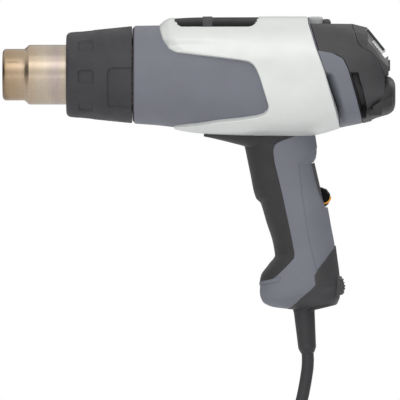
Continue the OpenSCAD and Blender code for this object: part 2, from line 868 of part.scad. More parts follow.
// Soft covering of the grip's front, with a lip that runs forward under the body
module soft_grip(side) {
    color("dimgray") difference() {
        intersection() {
            union() {
                grip_solid();
                hull() {
                    translate([-59.7, 0, axis_z - 39.6]) sphere(r = 1, $fn = 16);
                    for (y = [-1, 1]) {
                        translate([-44, 6.5 * y, axis_z - 42.6]) sphere(r = 2.4, $fn = 16);
                        translate([-31, 8 * y, axis_z - 45]) sphere(r = 3.2, $fn = 16);
                    }
                }
            }
            union() {
                on_grip() side_prism(moved(soft_outline, -gap, gap), -far, far);
                box([-62, -far, axis_z - 50], [-34, far, axis_z]);
            }
            half_space(side);
        }
        body_form(outer_stations, -gap);
        grip_hollow(wall);
    }
}

module grip_left() {
    soft_grip(-1);
}

module grip_right() {
    soft_grip(1);
}

module switch_body() {
    color("black") on_grip() difference() {
        box([1.5, -6.5, -12], [13.4, 6.5, 26]);
        box([11.9, -stem_w / 2 - 0.5, knob_s - stem_h / 2 - 1],
            [20, stem_w / 2 + 0.5, knob_s + stem_h / 2 + slide_travel + 1]);
    }
}

module switch_frame() {
    color("black") on_grip() difference() {
        box([13.7, -7.2, -5.5], [slot_f - gap, 7.2, 24.5]);
        box([10, -stem_w / 2 - gap, knob_s - stem_h / 2 - 0.5],
            [30, stem_w / 2 + gap, knob_s + stem_h / 2 + slide_travel + 0.5]);
    }
}

module knob_band(r_out, r_in, w) {
    intersection() {
        difference() {
            cross_rod(knob_f, knob_s, r_out, -w / 2, w / 2);
            cross_rod(knob_f, knob_s, r_in, -w, w);
        }
        box([slot_f + 0.8, -w, knob_s - 4.6], [40, w, knob_s - 2.4]);
    }
}

module slide_knob() {
    color("black") on_grip() difference() {
        union() {
            intersection() {
                cross_rod(knob_f, knob_s, knob_r, -knob_w / 2, knob_w / 2);
                box([slot_f, -20, -20], [40, 20, 40]);
            }
            box([12.2, -stem_w / 2, knob_s - stem_h / 2], [slot_f + 1, stem_w / 2, knob_s + stem_h / 2]);
        }
        knob_band(knob_r + 1, knob_r - 0.75, knob_w + 2);
    }
}

module knob_mark() {
    color("orange") on_grip() knob_band(knob_r + 0.1, knob_r - 0.7, knob_w);
}

catch_outline = [[11, -51.6], [17.6, -51.6], [19.6, -54], [19.7, -60], [17.6, -64.6], [11, -64.6]];
catch_half = 9;
catch_travel = 1.5;

module lead_module() {
    color("dimgray") difference() {
        intersection() {
            grip_form(foot_stations, 0);
            on_grip() side_prism(module_outline, -far, far);
        }
        on_grip() box([9, -catch_half - gap, -65], [30, catch_half + gap, -51.2]);
        relief_bore(relief_d / 2 + 0.2);
        grip_hollow(wall);
        on_grip() translate([9, 0, -40]) cylinder(r = 2, h = 30, center = true);
    }
}

// Ribbed catch that frees the lead module
module module_catch() {
    color("dimgray") on_grip() difference() {
        side_prism(catch_outline, -catch_half, catch_half);
        for (s = [-54.4:-2.6:-62.2]) box([18.7, -far, s - 0.6], [30, far, s + 0.6]);
    }
}

clamp_z = -38;
clamp_screw_x = [-3.5, 9];

module terminal_block() {
    color("whitesmoke") on_grip() difference() {
        box([-13, -9, -27], [-3, 9, -18]);
        for (y = [-6, 0, 6]) translate([-14, y, -22.5]) rotate([0, 90, 0]) cylinder(r = 1.4, h = 12);
    }
}

module lead_clamp() {
    color("black") difference() {
        box([clamp_screw_x[0] - 3, 4.4, clamp_z - 3], [clamp_screw_x[1] + 3, 7, clamp_z + 3]);
        for (x = clamp_screw_x) cross_rod(x, clamp_z, 1.6, 0, 20);
    }
}

module clamp_screws() {
    color("silver") for (x = clamp_screw_x) {
        cross_rod(x, clamp_z, 1, -10, 7.2);
        cross_rod(x, clamp_z, 2.3, 7.1, 8.6);
    }
}

module inner_wires() {
    wire_r = 1.3;
    color("saddlebrown") on_grip() for (y = [-4, 4]) translate([-8, y, -17.8]) {
        cylinder(r = wire_r, h = 68);
        translate([0, 0, 68]) sphere(r = wire_r);
    }
}

// ---- Mains lead ----

module strain_relief() {
    collar_r = relief_d / 2;
    neck_r = cord_r;
    color("dimgray") translate([relief_x, 0, relief_z]) rotate([0, -relief_tilt, 0]) rotate_extrude()
        polygon([[0, 36], [neck_r, 36], [neck_r, 9.4], [collar_r, 9.4], [collar_r, 0],
            [collar_r - 0.8, -relief_length + 3.4], [relief_end_r, -relief_length], [0, -relief_length]]);
}

function unit(v) = v / norm(v);
function along(points, i) = unit(points[min(i + 1, len(points) - 1)] - points[max(i - 1, 0)]);

// Rings of the lead's round section across a route whose ends both run nearly down
function route_rings(points) = [for (i = [0:len(points) - 1])
    let (t = along(points, i), u = unit(cross([0, 1, 0], t)), v = cross(t, u))
    [for (j = [0:cord_sides - 1]) let (a = 360 * j / cord_sides)
        points[i] + cord_r * (cos(a) * u + sin(a) * v)]];

module cord_run() {
    color("dimgray") {
        swept([for (ring = route_rings(concat([lead_end], lead_route))) backwards(ring)]);
        swept([for (ring = route_rings(tail_route)) backwards(ring)]);
    }
}

module cord_coil() {
    inner_half = 2 * lead_d;
    outer_half = 1.5 * lead_d;
    low = inner_turn_r - cord_r;
    high = turn_r + cord_r;
    mid = inner_turn_r + cord_r;
    color("dimgray") translate(coil_centre) rotate([90, 0, 0]) rotate_extrude()
        polygon([[low, -inner_half], [mid, -inner_half], [mid + 3, -outer_half], [high, -outer_half],
            [high, outer_half], [mid + 3, outer_half], [mid, inner_half], [low, inner_half]]);
}

module coil_tie() {
    tie_w = 9;
    tie_t = 1.4;
    low = [coil_centre[0] - tie_w / 2, -2 * lead_d - 0.6, coil_centre[2] + inner_turn_r - cord_r - 1];
    high = [coil_centre[0] + tie_w / 2, 2 * lead_d + 0.6, coil_centre[2] + turn_r + cord_r + 0.4];
    color("black") difference() {
        box(low - [0, tie_t, tie_t], high + [0, tie_t, tie_t]);
        box(low - [1, 0, 0], high + [1, 0, 0]);
    }
}

module plug_body() {
    shoulder = 8;
    color("dimgray") translate(plug_place) intersection() {
        rotate([180, 0, 0]) rotate_extrude() polygon([[0, 0], [5.4, 0], [6.4, plug_relief],
            [9, plug_relief + 2], [plug_w / 2 - 2, plug_relief + plug_length - shoulder],
            [plug_w / 2, plug_relief + plug_length - shoulder + 2], [plug_w / 2, plug_relief + plug_length],
            [0, plug_relief + plug_length]]);
        box([-plug_w, -plug_t / 2, -far], [plug_w, plug_t / 2, 1]);
    }
}

module plug_pins() {
    root = -plug_relief - plug_length;
    color("gold") for (side = [-1, 1]) translate(plug_place + [side * pin_pitch / 2, 0, root - pin_length]) {
        cylinder(r = pin_d / 2, h = pin_length - pin_insulator);
        translate([0, 0, pin_length - pin_insulator]) cylinder(r = pin_d / 2 - 0.4, h = pin_insulator);
    }
}

outlet_tube();
guard_sleeve();
tube_mount();
mica_tube();
front_disc();
rear_disc();
heater_frame();
heating_coil();
temperature_sensor();
air_duct();
motor_can();
motor_magnets();
carbon_brushes();
bearing_front();
bearing_rear();
motor_shaft();
armature();
commutator();
impeller();
housing_left();
housing_right();
cover_left();
cover_right();
top_windows();
window_bar();
indicator_lens();
rear_cap();
display_housing();
display_trim();
display_lens();
display_module();
control_board();
power_board();
button_1();
button_2();
button_3();
button_4();
rear_bumper();
grille_left();
grille_right();
grip_left();
grip_right();
switch_body();
switch_frame();
slide_knob();
knob_mark();
lead_module();
module_catch();
terminal_block();
lead_clamp();
clamp_screws();
inner_wires();
housing_screws();
strain_relief();
cord_run();
cord_coil();
coil_tie();
plug_body();
plug_pins();
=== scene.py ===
"""Looks of the hot air gun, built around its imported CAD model.

The shared frame is the CAD model's: the nozzle points along -X, the grip hangs along -Z, and the
origin is the middle of the hand grip. Shapes are worked out in millimetres and made in metres.
"""

import json
import logging
import math
from dataclasses import dataclass
from enum import Enum
from typing import Callable, Optional, Sequence

import bpy
import numpy as np
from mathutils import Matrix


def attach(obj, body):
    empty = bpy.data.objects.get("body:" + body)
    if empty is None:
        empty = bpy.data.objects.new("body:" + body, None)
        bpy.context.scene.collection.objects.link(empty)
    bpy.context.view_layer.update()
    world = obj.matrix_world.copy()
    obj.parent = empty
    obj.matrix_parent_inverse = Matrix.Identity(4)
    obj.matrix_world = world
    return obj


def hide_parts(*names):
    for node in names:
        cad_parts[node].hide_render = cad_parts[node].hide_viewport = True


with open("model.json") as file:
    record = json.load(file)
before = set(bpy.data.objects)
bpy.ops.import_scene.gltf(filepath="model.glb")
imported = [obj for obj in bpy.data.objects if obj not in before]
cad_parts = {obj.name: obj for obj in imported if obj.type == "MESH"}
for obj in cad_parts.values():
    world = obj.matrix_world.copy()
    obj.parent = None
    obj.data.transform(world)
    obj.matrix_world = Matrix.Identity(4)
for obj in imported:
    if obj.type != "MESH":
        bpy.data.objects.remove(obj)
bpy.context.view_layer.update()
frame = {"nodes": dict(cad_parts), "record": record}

LOG = logging.getLogger("heat_gun")
MM = 0.001

AXIS_Z = 86.0
GRIP_LEAN = math.radians(13.0)
LEAD_D = 8.2
GUARD_BODY = "guard"
CASING = "casing"
HALVINGS = 34
WELD_DISTANCE = 0.00001

Points = Sequence[tuple[float, float]]


class Wrap(Enum):
    """Whether a surface closes on itself across its second parameter."""

    CLOSED = True
    OPEN = False


# ---- Shape helpers ----


def smooth_interp(x: np.ndarray, xs: np.ndarray, ys: np.ndarray) -> np.ndarray:
    """Monotone cubic blend through given values, flat past its ends.

    Args:
        x: Places to evaluate.
        xs: Rising places of the given values.
        ys: The given values.

    Returns:
        The blended values at x.
    """
    step = np.diff(xs)
    slope = np.diff(ys) / step
    inner = np.where(slope[:-1] * slope[1:] > 0, 2 * slope[:-1] * slope[1:] / (slope[:-1] + slope[1:] + 1e-12), 0)
    tangent = np.concatenate([[slope[0]], inner, [slope[-1]]])
    x = np.clip(x, xs[0], xs[-1])
    i = np.clip(np.searchsorted(xs, x, side="right") - 1, 0, len(xs) - 2)
    h = step[i]
    t = (x - xs[i]) / h
    return (
        (2 * t**3 - 3 * t**2 + 1) * ys[i]
        + (t**3 - 2 * t**2 + t) * h * tangent[i]
        + (3 * t**2 - 2 * t**3) * ys[i + 1]
        + (t**3 - t**2) * h * tangent[i + 1]
    )


def full_turn(count: int) -> np.ndarray:
    """Angles of a whole turn in equal steps, without the last, which would repeat the first."""
    return 2 * math.pi * np.arange(count) / count


def drawn_in(ring: np.ndarray, share: float) -> np.ndarray:
    """Ring of points drawn in towards its middle, to a share of its size."""
    middle = ring.mean(axis=0)
    return middle + (ring - middle) * share


def rounded(value: np.ndarray, power: np.ndarray | float) -> np.ndarray:
    """Term of a superellipse: the value's size to the power 2 / power, with its sign kept."""
    return np.sign(value) * np.abs(value) ** (2 / power)


def link(name: str, data: bpy.types.ID) -> bpy.types.Object:
    """Makes an object of some data and links it to the scene."""
    obj = bpy.data.objects.new(name, data)
    bpy.context.scene.collection.objects.link(obj)
    return obj


def smoothstep(x: np.ndarray) -> np.ndarray:
    """Cubic ease from 0 to 1."""
    x = np.clip(x, 0.0, 1.0)
    return x * x * (3 - 2 * x)


def on_body(along: np.ndarray, side: np.ndarray, up: np.ndarray) -> np.ndarray:
    """Barrel frame to the shared frame: along is X and up is counted from the barrel's axis."""
    return np.stack(np.broadcast_arrays(along, side, up + AXIS_Z), axis=-1).astype(float)


def on_grip(along: np.ndarray, side: np.ndarray, back: np.ndarray) -> np.ndarray:
    """Leaning grip frame to the shared frame: along runs up the grip and back towards its rear.

    Args:
        along: Places up the grip.
        side: Places across it.
        back: Places from its front to its rear.

    Returns:
        Points in the shared frame, in millimetres.
    """
    x = back * math.cos(GRIP_LEAN) - along * math.sin(GRIP_LEAN)
    z = back * math.sin(GRIP_LEAN) + along * math.cos(GRIP_LEAN)
    return np.stack(np.broadcast_arrays(x, side, z), axis=-1).astype(float)


class Form:
    """Body blended through rounded sections.

    A section's outline is a superellipse: side = half * cos(a)^(2/p), up = middle + rise * sin(a)^(2/p),
    with signs kept, so a is 90 degrees at the top or back and -90 at the bottom or front.
    """

    def __init__(self, stations: Sequence[tuple[float, float, float, float, float]], place: Callable) -> None:
        """Keeps the stations, each as place, high, low, half width and power.

        Args:
            stations: The sections in rising order of place.
            place: Turns along, side and up into points of the shared frame.
        """
        table = np.array(stations, float)
        self.xs, self.values = table[:, 0], table[:, 1:].T
        self.place = place

    def section(self, along: np.ndarray) -> list[np.ndarray]:
        """Sizes of the section at a place."""
        return [smooth_interp(along, self.xs, v) for v in self.values]

    def local(self, along: np.ndarray, angle: np.ndarray, out: np.ndarray) -> tuple[np.ndarray, np.ndarray]:
        """Side and up of the surface, grown outwards by out.

        Args:
            along: Places along the form.
            angle: Angles round the section, in radians.
            out: How far the surface is moved out.

        Returns:
            Side and up, in the form's own frame.
        """
        high, low, half, power = self.section(along)
        c, s = np.cos(angle), np.sin(angle)
        side = (half + out) * rounded(c, power)
        up = (high + low) / 2 + ((high - low) / 2 + out) * rounded(s, power)
        return side, up

    def points(self, along: np.ndarray, angle: np.ndarray, out: np.ndarray) -> np.ndarray:
        """Surface points in the shared frame."""
        side, up = self.local(along, angle, out)
        return self.place(along, side, up)

    def rings(self, along: np.ndarray, cols: int, out: np.ndarray | float = 0.0) -> np.ndarray:
        """Whole rings of surface points, one at each place along the form."""
        return self.points(*np.broadcast_arrays(along[:, None], full_turn(cols)[None, :]), out)

    def crossing(self, edge: Points, angle: np.ndarray, low: float, high: float) -> np.ndarray:
        """Place along the form where its surface meets an edge line seen from the side.

        The edge gives a place for each height, and the meeting place is found by halving.

        Args:
            edge: The edge line, as place and height.
            angle: Angles round the section.
            low: Lowest place searched.
            high: Highest place searched.

        Returns:
            One place for each angle.
        """
        line = np.array(sorted(edge, key=lambda p: p[1]), float)
        below, above = np.full(angle.shape, low), np.full(angle.shape, high)
        for _ in range(HALVINGS):
            middle = (below + above) / 2
            _, up = self.local(middle, angle, np.zeros_like(middle))
            before = middle < np.interp(up, line[:, 1], line[:, 0])
            below, above = np.where(before, middle, below), np.where(before, above, middle)
        return (below + above) / 2


def mesh_object(name: str, points: np.ndarray, faces: np.ndarray, smooth_angle: float = 38.0) -> bpy.types.Object:
    """Makes a closed mesh that faces outwards.

    Args:
        name: The piece's name.
        points: Corners in millimetres, in the shared frame.
        faces: Four corner numbers a face, the last repeated where a face has three.
        smooth_angle: Edges sharper than this, in degrees, stay sharp.

    Returns:
        The new object, linked to the scene.
    """
    a, b, c, d = (points[faces[:, k]] for k in range(4))
    volume = np.einsum("ij,ij->i", a, np.cross(b, c)).sum() + np.einsum("ij,ij->i", a, np.cross(c, d)).sum()
    three = faces[:, 2] == faces[:, 3]
    turn = -1 if volume < 0 else 1
    rows = faces[~three][:, ::turn].tolist() + faces[three][:, :3][:, ::turn].tolist()
    mesh = bpy.data.meshes.new(name)
    mesh.from_pydata((points * MM).tolist(), [], rows)
    mesh.validate()
    mesh.shade_smooth()
    obj = link(name, mesh)
    mesh.set_sharp_from_angle(angle=math.radians(smooth_angle))
    return obj


def grid_faces(rows: int, cols: int, start: int, wrap: Wrap) -> np.ndarray:
    """Faces of a grid of corners laid row by row.

    Args:
        rows: Number of rows.
        cols: Number of corners in a row.
        start: Number of the first corner.
        wrap: Whether the last column joins the first.

    Returns:
        Four corner numbers a face.
    """
    i = np.arange(rows - 1)[:, None]
    j = np.arange(cols if wrap.value else cols - 1)[None, :]
    k = (j + 1) % cols
    return np.stack(
        [start + i * cols + j, start + i * cols + k, start + (i + 1) * cols + k, start + (i + 1) * cols + j], -1
    ).reshape(-1, 4)


def shell(name: str, outer: np.ndarray, inner: np.ndarray, wrap: Wrap) -> bpy.types.Object:
    """Closed wall between two grids of points of one size.

    Args:
        name: The piece's name.
        outer: Rows of points on its outside.
        inner: Rows of points on its inside.
        wrap: Whether the columns close into rings.

    Returns:
        The new object.
    """
    rows, cols = outer.shape[:2]
    count = rows * cols
    parts = [grid_faces(rows, cols, 0, wrap), grid_faces(rows, cols, count, wrap)[:, ::-1]]
    j = np.arange(cols if wrap.value else cols - 1)
    k = (j + 1) % cols
    for row, turn in ((0, 1), (rows - 1, -1)):
        base = row * cols
        parts.append(np.stack([base + j, base + count + j, base + count + k, base + k], -1)[:, ::turn])
    if not wrap.value:
        i = np.arange(rows - 1) * cols
        for col, turn in ((0, -1), (cols - 1, 1)):
            a = i + col
            parts.append(np.stack([a, a + count, a + count + cols, a + cols], -1)[:, ::turn])
    points = np.concatenate([outer.reshape(-1, 3), inner.reshape(-1, 3)])
    return mesh_object(name, points, np.concatenate(parts))


def solid(name: str, rows: np.ndarray) -> bpy.types.Object:
    """Closed solid from rings of points, its first and last rings drawn in to one point.

    Args:
        name: The piece's name.
        rows: Rings of points, in order.

    Returns:
        The new object.
    """
    count, cols = rows.shape[:2]
    ends = np.stack([rows[0].mean(axis=0), rows[-1].mean(axis=0)])
    points = np.concatenate([rows.reshape(-1, 3), ends])
    j = np.arange(cols)
    k = (j + 1) % cols
    first, last = count * cols, count * cols + 1
    low = np.stack([np.full(cols, first), k, j, j], -1)
    top = (count - 1) * cols
    high = np.stack([np.full(cols, last), top + j, top + k, top + k], -1)
    body = grid_faces(count, cols, 0, Wrap.CLOSED)
    return mesh_object(name, points, np.concatenate([body, low, high]))


def spaced(length: float, rim: float, step: float) -> tuple[np.ndarray, np.ndarray]:
    """Places across a strip, close together within its rounded rims.

    Args:
        length: A typical length of the strip.
        rim: Radius of its rims.
        step: Spacing between the rims.

    Returns:
        Distances from the near edge for the first rim, and shares of the middle.
    """
    edge = rim * (1 - np.cos(np.linspace(0, math.pi / 2, 6)))
    middle = np.linspace(0, 1, max(3, int((length - 2 * rim) / step) + 1))
    return edge, middle


def rim_drop(distance: np.ndarray, rim: float) -> np.ndarray:
    """How far a rounded rim lies under the surface: rim - sqrt(rim^2 - (rim - distance)^2)."""
    near = np.clip(rim - distance, 0, rim)
    return rim - np.sqrt(np.maximum(rim**2 - near**2, 0))


@dataclass
class Skin:
    """Part of a form's surface between two edges along it and two edges round it.

    The surface is the form's own point at place x and angle a, moved out by lift less the rims' drop
    and less whatever sink gives. The inside is the same grid moved in by depth.
    """

    name: str
    form: Form
    start: Callable[[np.ndarray], np.ndarray]
    end: Callable[[np.ndarray], np.ndarray]
    angles: tuple[float, float] = (-90.0, 270.0)
    wrap: Wrap = Wrap.CLOSED
    lift: float = 0.0
    depth: float = 2.2
    rim: float = 0.6
    step: float = 0.8
    cols: int = 420
    sink: Optional[Callable[[np.ndarray, np.ndarray, np.ndarray], np.ndarray]] = None

    def build(self) -> bpy.types.Object:
        """Makes the piece.

        Returns:
            The new object.
        """
        low, high = (math.radians(a) for a in self.angles)
        if self.wrap is Wrap.CLOSED:
            angle = low + (high - low) * np.arange(self.cols) / self.cols
        else:
            share = np.linspace(0, 1, self.cols)
            angle = low + (high - low) * (share - 0.04 * np.sin(2 * math.pi * share))
        x0, x1 = self.start(angle), self.end(angle)
        edge, middle = spaced(float(np.mean(x1 - x0)), self.rim, self.step)
        rim = np.minimum(edge[:, None], (x1 - x0)[None, :] * 0.45)
        inner_low, inner_high = x0 + rim[-1], x1 - rim[-1]
        x = np.concatenate(
            [x0 + rim[:-1], inner_low + (inner_high - inner_low) * middle[:, None], x1 - rim[:-1][::-1]]
        )
        a = np.broadcast_to(angle, x.shape)
        drop = rim_drop(np.minimum(x - x0, x1 - x), self.rim)
        if self.wrap is Wrap.OPEN:
            _, _, half, _ = self.form.section(x)
            drop = np.maximum(drop, rim_drop(np.minimum(a - a[:, :1], a[:, -1:] - a) * half, self.rim))
        if self.sink is not None:
            side, up = self.form.local(x, a, np.zeros_like(x))
            drop = drop + self.sink(x, side, up)
        outer = self.form.points(x, a, self.lift - drop)
        inner = self.form.points(x, a, np.full_like(x, self.lift - self.depth))
        return shell(self.name, outer, inner, self.wrap)


def turned(name: str, profile: np.ndarray, cols: int, shift: Optional[Callable] = None) -> bpy.types.Object:
    """Ring turned about the barrel's axis from a closed outline of place and radius.

    Args:
        name: The piece's name.
        profile: The outline's points in order, as place along the barrel and radius.
        cols: Number of points round.
        shift: How far each point is moved in, from its place, angle and radius.

    Returns:
        The new object.
    """
    x, a = np.broadcast_arrays(profile[:, :1], full_turn(cols)[None, :])
    r = np.broadcast_to(profile[:, 1:2], x.shape)
    if shift is not None:
        r = r - shift(x, a, r)
    points = on_body(x, r * np.cos(a), r * np.sin(a))
    rows = len(profile)
    closed = np.concatenate([points, points[:1]]).reshape(-1, 3)
    faces = grid_faces(rows + 1, cols, 0, Wrap.CLOSED) % (rows * cols)
    return mesh_object(name, closed[: rows * cols], faces)


def along_line(corners: Points, step: float) -> np.ndarray:
    """Points set close together along straight stretches.

    Args:
        corners: The corners of the line.
        step: Largest spacing.

    Returns:
        The points, its corners among them.
    """
    found = []
    for a, b in zip(corners[:-1], corners[1:]):
        count = max(1, int(math.ceil(math.dist(a, b) / step)))
        t = np.arange(count)[:, None] / count
        found.append(np.array(a) + (np.array(b) - np.array(a)) * t)
    found.append(np.array([corners[-1]]))
    return np.concatenate(found)


def arc(centre: tuple[float, float], radius: float, start: float, end: float, count: int = 9) -> list:
    """Points of a round corner in an outline."""
    angle = np.radians(np.linspace(start, end, count))
    return [(centre[0] + radius * math.cos(t), centre[1] + radius * math.sin(t)) for t in angle]


# ---- Finishes ----


def add_node(tree: bpy.types.NodeTree, kind: str, **inputs: object) -> bpy.types.Node:
    """Adds a node to a material or world.

    Args:
        tree: The material's or world's nodes.
        kind: The node's type, without its ShaderNode prefix.
        inputs: Values of its inputs, their names with an underscore for each space.

    Returns:
        The node.
    """
    node = tree.nodes.new("ShaderNode" + kind)
    for name, value in inputs.items():
        node.inputs[name.replace("_", " ")].default_value = value
    return node


def noise(tree: bpy.types.NodeTree, coords: bpy.types.NodeSocket, size: float, detail: float) -> bpy.types.NodeSocket:
    """Adds noise.

    Args:
        tree: The material's nodes.
        coords: The coordinates it lies on.
        size: Size of its pattern in millimetres.
        detail: Levels of finer detail.

    Returns:
        The pattern.
    """
    node = add_node(tree, "TexNoise", Scale=1.0 / (size * MM), Detail=detail)
    tree.links.new(coords, node.inputs["Vector"])
    return node.outputs["Fac"]


def ramp(tree: bpy.types.NodeTree, source: bpy.types.NodeSocket, stops: Sequence) -> bpy.types.NodeSocket:
    """Adds a ramp of colours.

    Args:
        tree: The material's or world's nodes.
        source: What it follows.
        stops: Position and colour of each stop.

    Returns:
        The colour.
    """
    node = add_node(tree, "ValToRGB")
    items = node.color_ramp.elements
    while len(items) < len(stops):
        items.new(0.5)
    for item, (position, colour) in zip(items, stops):
        item.position = position
        item.color = (*colour, 1.0)
    tree.links.new(source, node.inputs["Fac"])
    return node.outputs["Color"]


def map_range(tree: bpy.types.NodeTree, source: bpy.types.NodeSocket, taken: tuple[float, float],
              given: tuple[float, float] = (0.0, 1.0)) -> bpy.types.NodeSocket:
    """Maps one range of numbers to another.

    Args:
        tree: The material's or world's nodes.
        source: What is mapped.
        taken: The range it is taken over.
        given: The range it is given.

    Returns:
        The mapped number.
    """
    node = add_node(tree, "MapRange", From_Min=taken[0], From_Max=taken[1], To_Min=given[0], To_Max=given[1])
    tree.links.new(source, node.inputs["Value"])
    return node.outputs["Result"]


@dataclass(frozen=True)
class Finish:
    """Moulded or painted surface: a broad change of tone, a fine grain and a change of gloss."""

    name: str
    colour: tuple[float, float, float]
    tone: float = 0.12
    roughness: float = 0.5
    gloss_change: float = 0.08
    metallic: float = 0.0
    coat: float = 0.0
    grain: float = 0.35
    relief: float = 0.25
    specular: float = 0.5
    patch: float = 22.0
    sheen: float = 0.0
    coat_roughness: float = 0.12
    sheen_roughness: float = 0.5
    grain_height: float = 0.08
    least_roughness: float = 0.02
    middle_range: tuple[float, float] = (0.3, 0.7)

    def constants(self) -> dict[str, float]:
        """Inputs of the shader that are the same all over."""
        return {"Metallic": self.metallic, "Coat Weight": self.coat, "Coat Roughness": self.coat_roughness,
                "Specular IOR Level": self.specular, "Sheen Weight": self.sheen,
                "Sheen Roughness": self.sheen_roughness}

    def colours(self, tree: bpy.types.NodeTree, coords: bpy.types.NodeSocket) -> bpy.types.NodeSocket:
        """Adds the colour, which changes slowly between a darker and a lighter tone.

        Args:
            tree: The material's nodes.
            coords: The piece's own coordinates.

        Returns:
            The colour.
        """
        dark = tuple(c * (1 - self.tone) for c in self.colour)
        light = tuple(min(1.0, c * (1 + self.tone)) for c in self.colour)
        low, high = self.middle_range
        return ramp(tree, noise(tree, coords, self.patch, 3.0), [(low, dark), (high, light)])

    def make(self) -> bpy.types.Material:
        """Makes the whole material, with its colour, its change of gloss and the relief of its grain.

        Returns:
            The material.
        """
        material = bpy.data.materials.new(self.name)
        material.use_nodes = True
        tree = material.node_tree
        shader = tree.nodes["Principled BSDF"]
        for name, value in self.constants().items():
            shader.inputs[name].default_value = value
        coords = add_node(tree, "TexCoord").outputs["Object"]
        tree.links.new(self.colours(tree, coords), shader.inputs["Base Color"])
        span = (max(self.least_roughness, self.roughness - self.gloss_change), self.roughness + self.gloss_change)
        gloss = map_range(tree, noise(tree, coords, self.patch * 0.4, 4.0), self.middle_range, span)
        tree.links.new(gloss, shader.inputs["Roughness"])
        bump = add_node(tree, "Bump", Strength=self.relief, Distance=self.grain_height * MM)
        tree.links.new(noise(tree, coords, self.grain, 2.0), bump.inputs["Height"])
        tree.links.new(bump.outputs["Normal"], shader.inputs["Normal"])
        return material


@dataclass(frozen=True)
class TintedSteel(Finish):
    """Stainless steel coloured in bands along the tube by the heat of its first hours."""

    bands: tuple = ()
    low_x: float = -194.0
    high_x: float = -100.0
    waver: float = 2.4
    cloud: float = 14.0
    turning_scale: tuple[float, float, float] = (8.0, 0.12, 0.12)
    turning_size: float = 1000.0 / 260.0
    turning_tones: tuple[float, float] = (0.93, 1.0)

    def colours(self, tree: bpy.types.NodeTree, coords: bpy.types.NodeSocket) -> bpy.types.NodeSocket:
        """Adds the bands of tint, bent a little by noise, under fine marks of turning.

        Args:
            tree: The material's nodes.
            coords: The piece's own coordinates.

        Returns:
            The colour.
        """
        split = add_node(tree, "SeparateXYZ")
        tree.links.new(coords, split.inputs["Vector"])
        shift = map_range(tree, noise(tree, coords, self.cloud, 4.0), self.middle_range,
                          (-self.waver * MM, self.waver * MM))
        add = add_node(tree, "Math")
        add.operation = "ADD"
        tree.links.new(split.outputs["X"], add.inputs[0])
        tree.links.new(shift, add.inputs[1])
        place = map_range(tree, add.outputs["Value"], (self.low_x * MM, self.high_x * MM))
        marks = add_node(tree, "Mapping", Scale=self.turning_scale)
        tree.links.new(coords, marks.inputs["Vector"])
        grain = noise(tree, marks.outputs["Vector"], self.turning_size, 5.0)
        mix = add_node(tree, "Mix")
        mix.data_type = "RGBA"
        mix.blend_type = "MULTIPLY"
        mix.inputs["Factor"].default_value = 1.0
        tree.links.new(ramp(tree, place, self.bands), mix.inputs[6])
        shades = [(at, (tone,) * 3) for at, tone in zip(self.middle_range, self.turning_tones)]
        tree.links.new(ramp(tree, grain, shades), mix.inputs[7])
        return mix.outputs[2]


@dataclass(frozen=True)
class Clear(Finish):
    """Clear moulding."""

    ior: float = 1.46
    transmission: float = 0.9

    def constants(self) -> dict[str, float]:
        """Inputs of the shader that are the same all over."""
        return super().constants() | {"Transmission Weight": self.transmission, "IOR": self.ior}


STEEL_BANDS = (
    (0.0, (0.26, 0.18, 0.11)),
    (0.04, (0.45, 0.33, 0.21)),
    (0.13, (0.52, 0.39, 0.27)),
    (0.22, (0.58, 0.47, 0.35)),
    (0.30, (0.62, 0.53, 0.42)),
    (0.34, (0.57, 0.48, 0.40)),
    (0.38, (0.53, 0.44, 0.41)),
    (0.42, (0.57, 0.48, 0.39)),
    (0.60, (0.62, 0.54, 0.44)),
)

